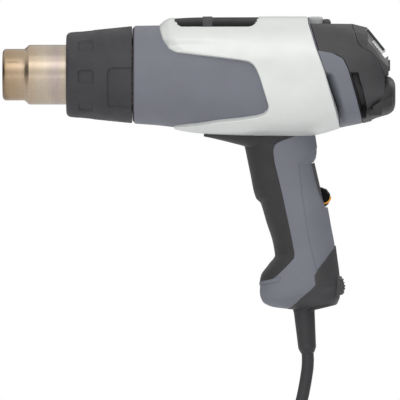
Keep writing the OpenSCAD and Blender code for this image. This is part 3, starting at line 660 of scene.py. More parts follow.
FINISHES = {
    "tinted_steel": TintedSteel("heat tinted steel", (0.6, 0.5, 0.4), roughness=0.26, metallic=1.0, grain=0.4,
                                relief=0.015, bands=STEEL_BANDS, patch=9.0, gloss_change=0.05),
    "charcoal_plastic": Finish("charcoal heat-resistant plastic", (0.048, 0.047, 0.052), roughness=0.56,
                               specular=0.4, relief=0.4),
    "heat_insulation": Finish("pressed heat insulation", (0.70, 0.63, 0.50), roughness=0.9, grain=0.8, relief=0.8),
    "mica": Finish("sheet mica", (0.58, 0.50, 0.32), roughness=0.4, tone=0.25, patch=6.0),
    "heater_ceramic": Finish("fired ceramic", (0.82, 0.79, 0.72), roughness=0.65, relief=0.5),
    "heating_wire": Finish("oxidised heating wire", (0.33, 0.31, 0.29), roughness=0.42, metallic=1.0, patch=3.0),
    "bright_steel": Finish("plain steel", (0.62, 0.62, 0.63), roughness=0.3, metallic=1.0, patch=6.0, relief=0.15),
    "magnet": Finish("sintered magnet", (0.10, 0.10, 0.11), roughness=0.6),
    "carbon": Finish("brush carbon", (0.03, 0.03, 0.03), roughness=0.6),
    "bronze": Finish("sintered bronze", (0.52, 0.34, 0.15), roughness=0.45, metallic=1.0, patch=4.0),
    "copper_winding": Finish("enamelled copper", (0.62, 0.28, 0.12), roughness=0.35, metallic=1.0, patch=3.0),
    "fan_plastic": Finish("fan plastic", (0.22, 0.22, 0.23), roughness=0.5),
    "blue_grey_plastic": Finish("blue-grey moulding", (0.190, 0.196, 0.232), roughness=0.5, tone=0.05, relief=0.45,
                                grain=0.45),
    "silver_plastic": Finish("silver lacquer", (0.81, 0.83, 0.805), roughness=0.38, metallic=0.25, coat=0.15,
                             tone=0.03, grain=0.25, relief=0.08, gloss_change=0.04),
    "black_gloss": Finish("polished black", (0.003, 0.003, 0.003), roughness=0.3, specular=0.08, gloss_change=0.03,
                          relief=0.03),
    "clear_lens": Clear("clear lens", (0.56, 0.57, 0.57), tone=0.10, patch=3.0, roughness=0.2, relief=0.1,
                        gloss_change=0.04, transmission=0.12),
    "black_plastic": Finish("grained black moulding", (0.052, 0.049, 0.052), roughness=0.46, relief=0.5, grain=0.5),
    "display_glass": Clear("tinted display window", (0.05, 0.06, 0.055), roughness=0.08, transmission=0.25,
                           relief=0.02, gloss_change=0.02),
    "circuit_board": Finish("circuit board", (0.03, 0.16, 0.07), roughness=0.45, tone=0.3, patch=2.5),
    "button_rubber": Finish("key rubber", (0.12, 0.12, 0.125), roughness=0.6, relief=0.4, sheen=0.1),
    "soft_rubber": Finish("soft-touch rubber", (0.030, 0.028, 0.030), roughness=0.62, relief=0.45, grain=0.5,
                          sheen=0.12),
    "orange_mark": Finish("orange inlay", (0.90, 0.36, 0.03), roughness=0.4, tone=0.06, patch=3.0),
    "terminal_plastic": Finish("terminal plastic", (0.78, 0.76, 0.70), roughness=0.5),
    "wire_insulation": Finish("wire insulation", (0.20, 0.09, 0.04), roughness=0.45, patch=5.0),
    "lead_rubber": Finish("lead rubber", (0.032, 0.032, 0.035), roughness=0.55, relief=0.5, grain=0.6, sheen=0.1),
    "tie_plastic": Finish("tie plastic", (0.015, 0.015, 0.016), roughness=0.35, relief=0.1),
    "plug_brass": Finish("nickelled brass", (0.70, 0.66, 0.56), roughness=0.25, metallic=1.0, relief=0.06, patch=4.0),
    "floor_board": Finish("pale floor", (0.86, 0.86, 0.87), roughness=0.7, tone=0.01, patch=400.0, grain=3.0),
}
_made: dict[str, bpy.types.Material] = {}


def finish(obj: bpy.types.Object, slot: str) -> bpy.types.Object:
    """Gives a piece the one finish made for a material slot in the record.

    Args:
        obj: The piece.
        slot: The material slot.

    Returns:
        The piece.
    """
    if slot not in _made:
        _made[slot] = FINISHES[slot].make()
    obj.data.materials.clear()
    obj.data.materials.append(_made[slot])
    return obj


def fit(obj: bpy.types.Object, slot: str, body: str, *nodes: str) -> bpy.types.Object:
    """Finishes a piece, sets it on its body and lets it stand for CAD nodes.

    Args:
        obj: The piece.
        slot: The material slot.
        body: The CAD body it moves with.
        nodes: The CAD nodes it stands for.

    Returns:
        The piece.
    """
    finish(obj, slot)
    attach(obj, body)
    if nodes:
        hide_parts(*nodes)
    return obj


# ---- Outlines of the body, as place along the barrel and height above its axis ----

BARREL_STATIONS = [
    (-107, 32.3, -32.3, 32.3, 2.0),
    (-92, 32.5, -33.4, 33.2, 2.05),
    (-60, 33.1, -37, 38, 2.4),
    (0, 34.3, -39.5, 40.5, 2.6),
    (30, 34, -34, 40, 2.6),
    (45, 26, -30, 38, 2.6),
    (56, 10, -25.5, 31, 2.4),
]
COVER_STATIONS = [
    (-92, 32.8, -33.5, 33.3, 2.0),
    (-87, 36.2, -34.6, 34.6, 2.1),
    (-83.5, 37.3, -35.4, 36.4, 2.2),
    (-61.4, 38.3, -39.4, 40.4, 2.5),
    (-6.6, 38.4, -43, 43, 2.6),
    (6.6, 38.4, -42, 43, 2.6),
    (29, 35.6, -35.4, 42.4, 2.6),
    (46.7, 31.2, -31.6, 40, 2.6),
    (60.2, 14.4, -26.9, 35, 2.5),
    (64.9, -5, -20, 30, 2.4),
]
COVER_FRONT = [(-80, -60), (-80.5, -35.2), (-65.3, -34.4), (-51.5, -32.3), (-37, -30.8), (-26, -29),
               (-21.5, -27.3), (-19.2, -25), (-18.5, -22.5), (-18.7, -20.7), (-24.2, -2.6), (-26.4, 3),
               (-28.8, 6.6), (-31.5, 8.3), (-35, 9.2), (-79.2, 15.4), (-83.8, 18.1), (-87.8, 24),
               (-90.4, 31.6), (-91, 50)]
COVER_REAR = [(6.5, 50), (7.9, 33.5), (12.9, 17), (18.3, 2.2), (28.7, -35.2), (33, -50)]
CAP_FRONT = [(7.4, 50), (9, 33.5), (14.2, 15.6), (23.6, 13.9), (30.4, 10.2), (33.7, 3.5), (39.1, -15.4),
             (43.5, -31.9), (46, -50)]
CAP_REAR = [(36, 50), (36.2, 34.8), (40.3, 20.9), (42.9, 17.6), (50.2, 13.7), (54.1, 8.4), (56.1, 3.1),
            (58.1, -1.5), (58, -16.5), (49.8, -21.1), (51, -50)]
SCOOP_EDGE = [(18.5, 2.4), (25.4, -0.7), (29.4, -11.9), (33.5, -25.7), (32.8, -31.7), (29, -34.7)]
SLOT_FRONT = [(35.2, 0.8), (39.1, -14.2), (43.2, -29.5)]
SLOT_REAR = [(40.4, 0.8), (42.8, -8), (46.5, -23.3), (46.6, -26.8), (45.4, -29.5)]

WINDOW_EDGE = [(-81.2, 38.6), (-80.4, 36.4), (-79.2, 34.2), (-77.4, 32.2), (-75.2, 31.2), (-31.5, 31.2),
               (-28.6, 32.2), (-26.2, 34.6), (-24.6, 38.6)]

BARREL = Form(BARREL_STATIONS, on_body)
COVER = Form(COVER_STATIONS, on_body)


def edge_of(form: Form, edge: Points, shift: float = 0.0) -> Callable[[np.ndarray], np.ndarray]:
    """Edge of a skin along a side outline."""
    return lambda angle: form.crossing(edge, angle, -112.0, 66.0) + shift


def level(value: float) -> Callable[[np.ndarray], np.ndarray]:
    """Edge at one place along a form."""
    return lambda angle: np.full_like(angle, value)


def outline_at(edge: Points, up: np.ndarray) -> np.ndarray:
    """Place of a side outline at given heights."""
    line = np.array(sorted(edge, key=lambda p: p[1]), float)
    return np.interp(up, line[:, 1], line[:, 0])


# ---- Sub-assemblies ----


@dataclass(frozen=True)
class Pad:
    """Rounded box sunk in the guard sleeve: its middle and half size along it, its half size round it."""

    middle_x: float
    half_x: float
    half: float
    corner: float
    depth: float
    slope: float = 1.1

    def drop(self, x: np.ndarray, off: np.ndarray) -> np.ndarray:
        """How far the surface goes in.

        The box's distance is length(max(q, 0)) + min(max(q), 0) - corner, with q the distance outside
        the box drawn in by its corner.

        Args:
            x: Place along the barrel.
            off: Place round it, from the pad's middle line.

        Returns:
            The drop.
        """
        qx = np.abs(x - self.middle_x) - self.half_x + self.corner
        qy = np.abs(off) - self.half + self.corner
        gap = np.hypot(np.maximum(qx, 0), np.maximum(qy, 0)) + np.minimum(np.maximum(qx, qy), 0) - self.corner
        return self.depth * smoothstep(-gap / self.slope)


@dataclass
class Outlet:
    """Outlet tube with its stepped tip, and the guard sleeve round it."""

    tip_x: float = -193.6
    crease_x: float = -179.6
    shoulder_x: float = -175.6
    end_x: float = -101.0
    tip_r: float = 17.0
    tube_r: float = 19.7
    wall: float = 0.8
    lip_r: float = 2.6
    guard_front: float = -151.6
    guard_rear: float = -108.2
    guard_radii: tuple[float, float] = (27.7, 32.0)
    flange_rise: float = 3.9
    guard_corner: float = 3.4
    guard_wall: float = 3.0
    guard_gap: float = 2.6
    recess_step: float = 45.0
    recess_start: float = 184.0
    recess: Pad = Pad(-138.6, 5.3, 4.9, 2.4, 1.15)
    recess_r: float = 28.6
    panel: Pad = Pad(-110.4, 14.2, 15.4, 3.6, 1.3)
    panel_r: float = 31.0
    panel_angles: tuple[float, float] = (200.0, -20.0)
    notch_angle: float = 150.0
    notch_depth: float = 0.35

    def tube(self) -> bpy.types.Object:
        """Turns the tube: a rolled lip, the straight tip, a soft shoulder, the tube and its flange.

        Returns:
            The tube.
        """
        lip = arc((self.tip_x + self.lip_r, self.tip_r - self.lip_r), self.lip_r, 180, 90, 12)
        step = np.linspace(0, 1, 12)
        shoulder = np.stack([
            self.crease_x + (self.shoulder_x - self.crease_x) * step,
            self.tip_r + (self.tube_r - self.tip_r) * smoothstep(step),
        ], -1)
        straight = along_line([(self.tip_x + self.lip_r + 0.3, self.tip_r), (self.crease_x - 0.6, self.tip_r)], 0.5)
        flange_r = self.tube_r + self.flange_rise
        outside = [*lip, *straight, (self.crease_x - 0.25, self.tip_r - 0.12), *shoulder.tolist(),
                   (self.shoulder_x + 0.5, self.tube_r), (-140.0, self.tube_r), (self.end_x - 2, self.tube_r),
                   (self.end_x - 1.4, flange_r), (self.end_x, flange_r)]
        inside = [(self.end_x, self.tube_r - self.wall), (self.shoulder_x, self.tube_r - self.wall),
                  (self.crease_x, self.tip_r - self.wall), (self.tip_x + self.lip_r, self.tip_r - self.wall),
                  (self.tip_x + 0.9, self.tip_r - self.lip_r)]
        return turned("outlet_tube_skin", np.array(outside + inside), 480, self.notch)

    def notch(self, x: np.ndarray, angle: np.ndarray, r: np.ndarray) -> np.ndarray:
        """Depth of the short locating groove on each side of the tip.

        Args:
            x: Place along the barrel.
            angle: Angle round it.
            r: Radius there.

        Returns:
            How far the surface goes in.
        """
        middle = math.radians(self.notch_angle)
        across = np.minimum(np.abs(angle - middle), np.abs(angle - (math.pi - middle))) * self.tip_r
        length = np.minimum(x - (self.tip_x + 3.2), self.crease_x - 3.4 - x)
        return self.notch_depth * smoothstep(1.2 - across / 0.55) * smoothstep(length / 0.6) * (r > self.tip_r - 0.4)

    def guard_radius(self, x: np.ndarray) -> np.ndarray:
        """Outer radius of the sleeve at a place."""
        return np.interp(x, [self.guard_front, self.guard_rear], self.guard_radii)

    def recesses(self, x: np.ndarray, angle: np.ndarray, r: np.ndarray) -> np.ndarray:
        """Depth of the ring of rounded recesses and of the panel at each side of the rear.

        Args:
            x: Place along the barrel.
            angle: Angle round it.
            r: Radius there.

        Returns:
            How far the surface goes in.
        """
        degrees = np.degrees(angle)
        turn = (degrees - self.recess_start + self.recess_step / 2) % self.recess_step - self.recess_step / 2
        total = self.recess.drop(x, np.radians(turn) * self.recess_r)
        for middle in self.panel_angles:
            off = (degrees - middle + 180) % 360 - 180
            total = np.maximum(total, self.panel.drop(x, np.radians(off) * self.panel_r))
        return total * (r > self.guard_radius(x) - 0.8) * (x > self.guard_front + 2)

    def guard(self) -> bpy.types.Object:
        """Turns the sleeve, with its rounded front and recesses.

        Returns:
            The sleeve.
        """
        front, rear = self.guard_radii
        corner, bore_r = self.guard_corner, self.tube_r + self.guard_gap
        outside = [(self.guard_front, bore_r), (self.guard_front, front - corner - 0.8)]
        outside += arc((self.guard_front + corner, front - corner + 0.3), corner, 180, 92, 12)
        outside += [*along_line([(self.guard_front + corner + 0.2, front + 0.35), (self.guard_rear - 0.7, rear)], 0.5)]
        outside += arc((self.guard_rear - 0.6, rear - 0.6), 0.6, 80, 0, 5)
        inside = [(self.guard_rear, rear - self.guard_wall), (self.guard_front + 5, front - self.guard_wall - 0.2),
                  (self.guard_front + 3, bore_r)]
        return turned("guard_sleeve_skin", np.array(outside + inside), 640, self.recesses)

    def collar(self) -> bpy.types.Object:
        """Dark collar in the housing's mouth, behind the sleeve."""
        outline = [(-107.9, 20.4), (-107.9, 30.2), (-107.3, 31.2), (-104.0, 31.2), (-104.0, 20.4)]
        return turned("mouth_collar", np.array(outline), 160)

    def build(self) -> None:
        """Makes and finishes the outlet's pieces."""
        fit(self.collar(), "charcoal_plastic", CASING)
        fit(self.tube(), "tinted_steel", CASING, "outlet_tube")
        fit(self.guard(), "charcoal_plastic", GUARD_BODY, "guard_sleeve")


@dataclass
class Body:
    """Barrel casing, the silver cover over it and the casings behind it."""

    cover_wall: float = 6.5
    band_wall: float = 11.0
    cap_wall: float = 8.0
    chamfer_depth: float = 1.5
    chamfer_width: float = 7.0
    ledge_depth: float = 1.1
    under_depth: float = 0.9
    fan_rise: float = 0.5
    fan_middle: tuple[float, float] = (-23.0, 9.0)
    window_recess: float = 0.9
    scoop_depth: float = 8.5
    scoop_span: tuple[float, float] = (-34.7, 2.4)
    scoop_slope: float = 7.5
    slot_depth: float = 7.0
    slot_ends: tuple[float, float] = (-29.5, 0.8)
    window_floor: float = -3.4
    window_rim: float = 0.35
    wedge_outline: tuple = ((63.0, -14.4), (56.5, -17.2), (49.8, -21.1), (50.3, -24.5), (51.2, -27.3),
                            (55.6, -27.2), (55.0, -23.7), (59.0, -22.2), (63.4, -20.6), (63.0, -14.4))

    def barrel(self) -> bpy.types.Object:
        """Blue-grey barrel that shows in front of the cover and through its side window."""
        return Skin("barrel_casing", BARREL, level(-107.0), level(0.0), rim=1.4, depth=2.6, step=2.0).build()

    def cover_creases(self, x: np.ndarray, side: np.ndarray, up: np.ndarray) -> np.ndarray:
        """Facets of the cover: a chamfer behind its front edge, and a ledge along its upper side.

        Args:
            x: Place along the barrel.
            side: Place across it; not used.
            up: Height above its axis.

        Returns:
            How far the surface goes in.
        """
        front = outline_at(COVER_FRONT, up)
        behind = np.clip(1 - (x - front) / self.chamfer_width, 0, 1)
        chamfer = self.chamfer_depth * behind * smoothstep((up - 10) / 10)
        fade = smoothstep((-30 - x) / 45) * smoothstep((x + 92) / 8)
        ledge = self.ledge_depth * fade * np.clip((23.0 - up) / 3.0, 0, 1) * smoothstep((up - 6) / 8)
        lower = self.under_depth * np.clip((-37.4 - up) / 4.0, 0, 1)
        fan_x, fan_up = self.fan_middle
        fan = -self.fan_rise * smoothstep(1 - np.hypot((x - fan_x) / 12, (up - fan_up) / 10))
        edge = np.array(WINDOW_EDGE, float)
        over = (up - smooth_interp(x, edge[:, 0], edge[:, 1])) * (x > edge[0, 0]) * (x < edge[-1, 0])
        recess = self.window_recess * smoothstep(over / 0.5)
        return chamfer + ledge + lower + fan * smoothstep((x - front) / 3) + recess

    def cover(self) -> bpy.types.Object:
        """Silver cover, C-shaped from the side round the window."""
        return Skin("silver_cover", COVER, edge_of(COVER, COVER_FRONT), edge_of(COVER, COVER_REAR), rim=1.0,
                    depth=self.cover_wall, step=1.0, cols=440, sink=self.cover_creases).build()

    def scoop(self, x: np.ndarray, side: np.ndarray, up: np.ndarray) -> np.ndarray:
        """Air scoop that dips towards the cover's edge.

        Args:
            x: Place along the barrel.
            side: Place across it; not used.
            up: Height above its axis.

        Returns:
            How far the surface goes in.
        """
        reach = outline_at(SCOOP_EDGE, up) - x
        low, high = self.scoop_span
        ends = smoothstep((high - up) / 4) * smoothstep((up - low) / 4)
        return self.scoop_depth * smoothstep(reach / self.scoop_slope) * ends

    def band(self) -> bpy.types.Object:
        """Blue-grey band behind the cover, with the scoop."""
        return Skin("rear_band", COVER, edge_of(COVER, COVER_REAR, 0.25), edge_of(COVER, CAP_FRONT, -0.05), rim=0.5,
                    depth=self.band_wall, lift=-0.35, step=0.6, cols=600, sink=self.scoop).build()

    def cap_slot(self, x: np.ndarray, side: np.ndarray, up: np.ndarray) -> np.ndarray:
        """Long intake slot in the cap's side.

        Args:
            x: Place along the barrel.
            side: Place across it; not used.
            up: Height above its axis.

        Returns:
            How far the surface goes in.
        """
        across = np.minimum(x - outline_at(SLOT_FRONT, up), outline_at(SLOT_REAR, up) - x)
        ends = np.minimum(self.slot_ends[1] - up, up - self.slot_ends[0])
        top = np.maximum(up - 33.4, 0) * smoothstep((38.5 - x) / 3)
        return self.slot_depth * smoothstep(across / 0.9) * smoothstep(ends / 1.2) + top

    def cap(self) -> bpy.types.Object:
        """Black rear part of the barrel."""
        return Skin("rear_cap_skin", COVER, edge_of(COVER, CAP_FRONT, 0.25), edge_of(COVER, CAP_REAR, -0.25),
                    rim=0.6, depth=self.cap_wall, lift=-0.15, step=0.5, cols=600, sink=self.cap_slot).build()

    def windows(self) -> list[tuple[bpy.types.Object, str]]:
        """Glossy strip let into the cover's top, and the grey bar across it.

        The strip's edge on each side is at the height of the opening there.

        Returns:
            The strip's two parts and the bar, with their slots.
        """
        found = []
        line = np.array(WINDOW_EDGE, float)
        for name, x0, x1, lift, slot in (
            ("top_window_front", -81.0, -60.9, -0.5, "black_gloss"),
            ("top_window_rear", -56.0, -24.7, -0.5, "black_gloss"),
            # The crossbar takes the dark charcoal finish as painted shade, for the shadow it lies in between the
            # glossy strips.
            ("window_crossbar", -61.6, -55.3, 0.1, "charcoal_plastic"),
        ):
            x = np.linspace(x0, x1, int((x1 - x0) / 0.4) + 2)
            height = smooth_interp(x, line[:, 0], line[:, 1])
            height = height - (0.5 if slot == "black_gloss" else 0.2)
            high, low, half, power = COVER.section(x)
            share = np.clip((height - (high + low) / 2) / ((high - low) / 2), 0, 0.99999)
            reach = np.arcsin(share ** (power / 2))
            t = np.linspace(0, 1, 160)
            angle = reach[:, None] + (math.pi - 2 * reach[:, None]) * t[None, :]
            grid_x = np.broadcast_to(x[:, None], angle.shape)
            edge = np.minimum(t, 1 - t)[None, :] * (math.pi - 2 * reach[:, None]) * half[:, None]
            ends = np.minimum(grid_x - x0, x1 - grid_x) + 0.05
            drop = rim_drop(edge, self.window_rim)
            if slot == "black_gloss":
                drop = np.maximum(drop, rim_drop(ends, self.window_rim))
            outer = COVER.points(grid_x, angle, lift - drop)
            inner = COVER.points(grid_x, angle, np.full_like(angle, self.window_floor))
            found.append((shell(name, outer, inner, Wrap.OPEN), slot))
        return found

    def lens(self) -> list[tuple[bpy.types.Object, str]]:
        """Clear dome of the indicator, its dark seat and the bump behind it.

        The dome is a rounded box: a superellipsoid drawn up from its seat.

        Returns:
            The pieces and their slots.
        """
        found = []
        for name, middle, half, power, slot in (
            ("indicator_dome", (12.7, 0.0, 34.1), (5.2, 9.4, 4.2), 5.0, "clear_lens"),
            ("indicator_seat", (13.6, 0.0, 31.6), (7.6, 11.0, 2.4), 4.0, "black_plastic"),
            ("indicator_bump", (20.0, 0.0, 32.6), (3.0, 8.4, 4.2), 3.4, "black_plastic"),
        ):
            lat, lon = np.radians(np.linspace(-88, 88, 44))[:, None], full_turn(96)[None, :]
            x = middle[0] + half[0] * rounded(np.cos(lat), power) * rounded(np.cos(lon), power)
            y = middle[1] + half[1] * rounded(np.cos(lat), power) * rounded(np.sin(lon), power)
            z = middle[2] + half[2] * rounded(np.sin(lat), power) * np.ones_like(lon)
            found.append((solid(name, on_body(x, y, z)), slot))
        return found

    def bumper(self) -> bpy.types.Object:
        """Soft rear end, flat behind so that the gun stands on it.

        Returns:
            The bumper.
        """
        form = Form([
            (46, -21.6, -29.0, 31, 2.6),
            (49, -20.6, -29.9, 35, 2.6),
            (53, -18.5, -28.6, 35.4, 2.7),
            (57.5, -1.5, -27.2, 35.2, 2.7),
            (60.4, -1.1, -26.4, 34.6, 2.8),
            (62.6, -2.0, -25.2, 33.2, 2.8),
            (64.2, -3.6, -23.6, 31.2, 2.8),
            (65.0, -5.6, -21.4, 28.6, 2.8),
        ], on_body)
        x = np.concatenate([np.linspace(46, 64.2, 64), 65 - 0.8 * (1 - np.sin(np.linspace(0, math.pi / 2, 8)))])
        rows = form.rings(x, 260)
        start = [drawn_in(rows[0], share) for share in (0.3, 0.8)]
        inset = [drawn_in(rows[-1], share) for share in (0.97, 0.9, 0.5)]
        return solid("rear_bumper_skin", np.stack([*start, *rows, *inset]))

    def ledge(self, way: int) -> bpy.types.Object:
        """Raised wedge on one side of the rear end: an outline carried across with rounded edges.

        Args:
            way: -1 for the right-hand side, 1 for the left-hand one.

        Returns:
            The wedge.
        """
        line = along_line(self.wedge_outline, 0.8)[:-1]
        rows = []
        for share, side in ((1.0, 27.0), (1.0, 34.9), (0.985, 35.9), (0.93, 36.4), (0.7, 36.5)):
            ring = drawn_in(line, share)
            lean = side - 0.28 * np.maximum(ring[:, 0] - 57.0, 0)
            rows.append(on_body(ring[:, 0], way * lean, ring[:, 1]))
        return solid("rear_ledge_left" if way > 0 else "rear_ledge_right", np.stack(rows))

    def build(self) -> None:
        """Makes and finishes the body's pieces."""
        for way in (-1, 1):
            fit(self.ledge(way), "soft_rubber", CASING)
        fit(self.barrel(), "blue_grey_plastic", CASING)
        fit(self.cover(), "silver_plastic", CASING, "cover_left", "cover_right")
        fit(self.band(), "blue_grey_plastic", CASING, "grille_left", "grille_right")
        fit(self.cap(), "black_plastic", CASING, "rear_cap")
        for (obj, slot), node in zip(self.windows(), ("top_windows", "top_windows", "window_bar")):
            fit(obj, slot, CASING, node)
        for (obj, slot), nodes in zip(self.lens(), (("indicator_lens",), (), ())):
            fit(obj, slot, CASING, *nodes)
        fit(self.bumper(), "soft_rubber", CASING, "rear_bumper")


GRIP_STATIONS = [
    (-69.6, 11.5, -8, 11.5, 2.2),
    (-66, 14, -19.5, 15, 2.2),
    (-61, 15.5, -32, 17, 2.2),
    (-57, 16.2, -35.9, 19, 2.3),
    (-53, 17, -36.5, 19.5, 2.3),
    (-47, 17.8, -35.3, 19.3, 2.3),
    (-40, 18.4, -32.6, 19, 2.3),
    (-34, 19.0, -26, 18.5, 2.3),
    (-29, 19.5, -20.6, 18.1, 2.3),
    (-20, 19.8, -20.1, 17.8, 2.3),
    (-6.8, 20.4, -21.2, 17.5, 2.3),
    (6, 18.3, -22.0, 17, 2.3),
    (10.5, 18.1, -24.4, 17, 2.3),
    (16, 18.0, -24.8, 17, 2.3),
    (24, 17.9, -24.5, 17, 2.3),
    (27.5, 20.2, -24.4, 17, 2.3),
    (32, 21.8, -24.3, 17, 2.3),
    (46, 23.2, -24.0, 17.4, 2.3),
    (54, 25.2, -24.0, 17.8, 2.3),
]
SOFT_EDGE = [(-44.5, -29.6), (-43, -24.2), (-40.4, -19.5), (-38, -15.6), (-35.8, -12.3), (-33.3, -9.2), (-30, -8.3),
             (-9.7, -7.7), (11.9, -7.4), (28.8, -7.6), (37.5, -6.9), (41.7, -4.6), (42.9, -2), (43.8, 4.0),
             (44.6, 12.0), (54, 20)]
MODULE_EDGE = [(-69.6, 10.0), (-66.5, -24), (-64.9, -18.4), (-60.2, -10.2), (-55.8, -2), (-53.6, 0.5),
               (-48.3, 1.0), (-46.1, 2.9), (-38.5, 12.2), (-31.5, 21.0)]

GRIP = Form(GRIP_STATIONS, on_grip)


def angle_at(form: Form, along: np.ndarray, back: np.ndarray) -> np.ndarray:
    """Angle at which a form's +Y side passes a given place from front to back.

    Args:
        form: The form.
        along: Places along it.
        back: Places from its front to its back.

    Returns:
        The angles, -90 degrees at the front and 90 at the back.
    """
    high, low, _, power = form.section(along)
    share = (back - (high + low) / 2) / ((high - low) / 2)
    share = np.clip(share, -0.99995, 0.99995)
    return np.sign(share) * np.arcsin(np.abs(share) ** (power / 2))


@dataclass
class Grip:
    """Hand grip: its grey shell, the soft covering, the slide switch, the lead module and its catch."""

    sections: int = 250
    columns: int = 380
    ends: tuple[float, float] = (-68.4, 52.0)
    panel_depth: float = 0.45
    panel_front: tuple = ((-60, 4.5), (-40, 2.8), (-24.3, 2.5), (2.3, 4.6), (26.4, 7.4))
    soft_lift: float = 0.4
    soft_wall: float = 1.6
    catch_span: tuple[float, float] = (-64.4, -51.8)
    catch_outline: tuple = ((-64.4, 17.0), (-63.2, 18.2), (-60, 19.7), (-54.2, 19.6), (-52.6, 18.6), (-51.8, 17.2))
    catch_half: float = 8.9
    catch_floor: float = 12.0
    catch_pitch: float = 2.1
    catch_ribs: float = 0.55
    slot_half: float = 7.35
    slot_span: tuple[float, float] = (-5.7, 24.7)
    slot_floor: float = 12.6
    knob_middle: tuple[float, float] = (16.6, 1.2)
    knob_r: float = 6.9
    knob_half: float = 6.2
    knob_crown: float = 0.9
    knob_tilt: float = math.radians(15)

    def shell(self) -> bpy.types.Object:
        """Grey shell of the grip, closed at its foot.

        Returns:
            The shell.
        """
        s = np.linspace(*self.ends, self.sections)
        s, turn = np.broadcast_arrays(s[:, None], full_turn(self.columns)[None, :])
        side, back = GRIP.local(s, turn, np.zeros_like(turn))
        low, high = self.slot_span
        inside = np.minimum(self.slot_half - np.abs(side), np.minimum(s - low, high - s))
        slot = np.maximum(back - self.slot_floor, 0) * smoothstep(inside / 0.45 + 0.5) * (back > 5)
        rows = GRIP.points(s, turn, -np.maximum(self.rear_panel(s, back), slot))
        caps = [drawn_in(rows[0], share) + np.array([0, 0, -0.5 * (1 - share)]) for share in (0.4, 0.75, 0.94)]
        return solid("grip_shell", np.stack([*caps, *rows]))

    def rear_panel(self, s: np.ndarray, back: np.ndarray) -> np.ndarray:
        """Depth of the panel over the grip's rear, which lies a little under the rest of the shell.

        Args:
            s: Place up the grip.
            back: Place from its front to its back.

        Returns:
            How far the surface goes in.
        """
        front = np.interp(s, *zip(*self.panel_front))
        top_s, top_back = self.panel_front[-1]
        top = top_s + (back - top_back) * 0.5
        return self.panel_depth * smoothstep(np.minimum(back - front, top - s) / 0.9)

    def wrap(self, name: str, s: np.ndarray, reach: np.ndarray, lift: float, depth: float, rim: float,
             middle: float = -90.0, cols: int = 220) -> bpy.types.Object:
        """Skin round one side of the grip, as wide to each side as reach says.

        Args:
            name: The piece's name.
            s: Places along the grip.
            reach: Half angle of the skin at each place, in radians.
            lift: How far it stands out.
            depth: Its thickness.
            rim: Radius of its edges.
            middle: Angle of its middle line, in degrees.
            cols: Number of points across.

        Returns:
            The new object.
        """
        t = np.linspace(-1, 1, cols)
        angle = math.radians(middle) + reach[:, None] * t[None, :]
        grid = np.broadcast_to(s[:, None], angle.shape)
        _, _, half, _ = GRIP.section(grid)
        sides = (1 - np.abs(t))[None, :] * reach[:, None] * half
        ends = np.minimum(grid - s[0], s[-1] - grid)
        drop = rim_drop(np.minimum(sides, ends) + 0.03, rim)
        outer = GRIP.points(grid, angle, lift - drop)
        inner = GRIP.points(grid, angle, np.full_like(grid, lift - depth))
        return shell(name, outer, inner, Wrap.OPEN)

    def soft(self) -> bpy.types.Object:
        """Soft covering of the grip's front.

        Returns:
            The covering.
        """
        edge = np.array(SOFT_EDGE, float)
        s = np.concatenate([np.linspace(-44.4, -30, 60), np.linspace(-29.5, 50, 120)])
        back = smooth_interp(s, edge[:, 0], edge[:, 1])
        reach = angle_at(GRIP, s, back) + math.pi / 2
        return self.wrap("soft_grip", s, reach, self.soft_lift, self.soft_wall, 0.5)

    def rim(self) -> bpy.types.Object:
        """Thin pale edge round the flare under the fingers.

        Returns:
            The edge.
        """
        s = np.linspace(-46.2, -43.8, 14)
        reach = np.full_like(s, math.radians(64.0))
        return self.wrap("flare_edge", s, reach, 0.55, 1.4, 0.4)

    def module(self) -> bpy.types.Object:
        """Black lead module at the grip's foot.

        Returns:
            The module.
        """
        edge = np.array(MODULE_EDGE, float)
        s = np.linspace(-69.4, -31.9, 150)
        front = smooth_interp(s, edge[:, 0], edge[:, 1])
        reach = math.pi / 2 - angle_at(GRIP, s, front)
        return self.wrap("lead_module_skin", s, reach, 0.35, 1.8, 0.45, middle=90.0, cols=300)

    def foot(self) -> bpy.types.Object:
        """Underside of the module, closing the grip's foot round the strain relief.

        Returns:
            The underside.
        """
        ring = GRIP.points(np.full(200, -69.4), full_turn(200), 0.3)
        low = np.array([0.0, 0.0, -0.8])
        levels = ((0.9, -2.0), (1.0, -1.0), (1.0, 0.0), (0.93, 0.9), (0.5, 1.1))
        return solid("module_underside", np.stack([drawn_in(ring, share) + low * down for share, down in levels]))

    def lip(self) -> bpy.types.Object:
        """Wedge of the soft covering that runs forward under the barrel.

        Returns:
            The wedge.
        """
        form = Form([
            (-60.9, -38.6, -40.8, 1.0, 2.0),
            (-57, -36, -41.6, 4.2, 2.2),
            (-50, -34, -43.2, 8.4, 2.4),
            (-42, -34, -45.2, 11.4, 2.5),
            (-34.5, -34, -47.2, 13.6, 2.5),
            (-30.0, -34, -49.5, 15.0, 2.5),
            (-24.0, -34, -52.0, 15.5, 2.5),
        ], on_body)
        return solid("soft_lip", form.rings(np.linspace(-60.9, -24.0, 80), 160))

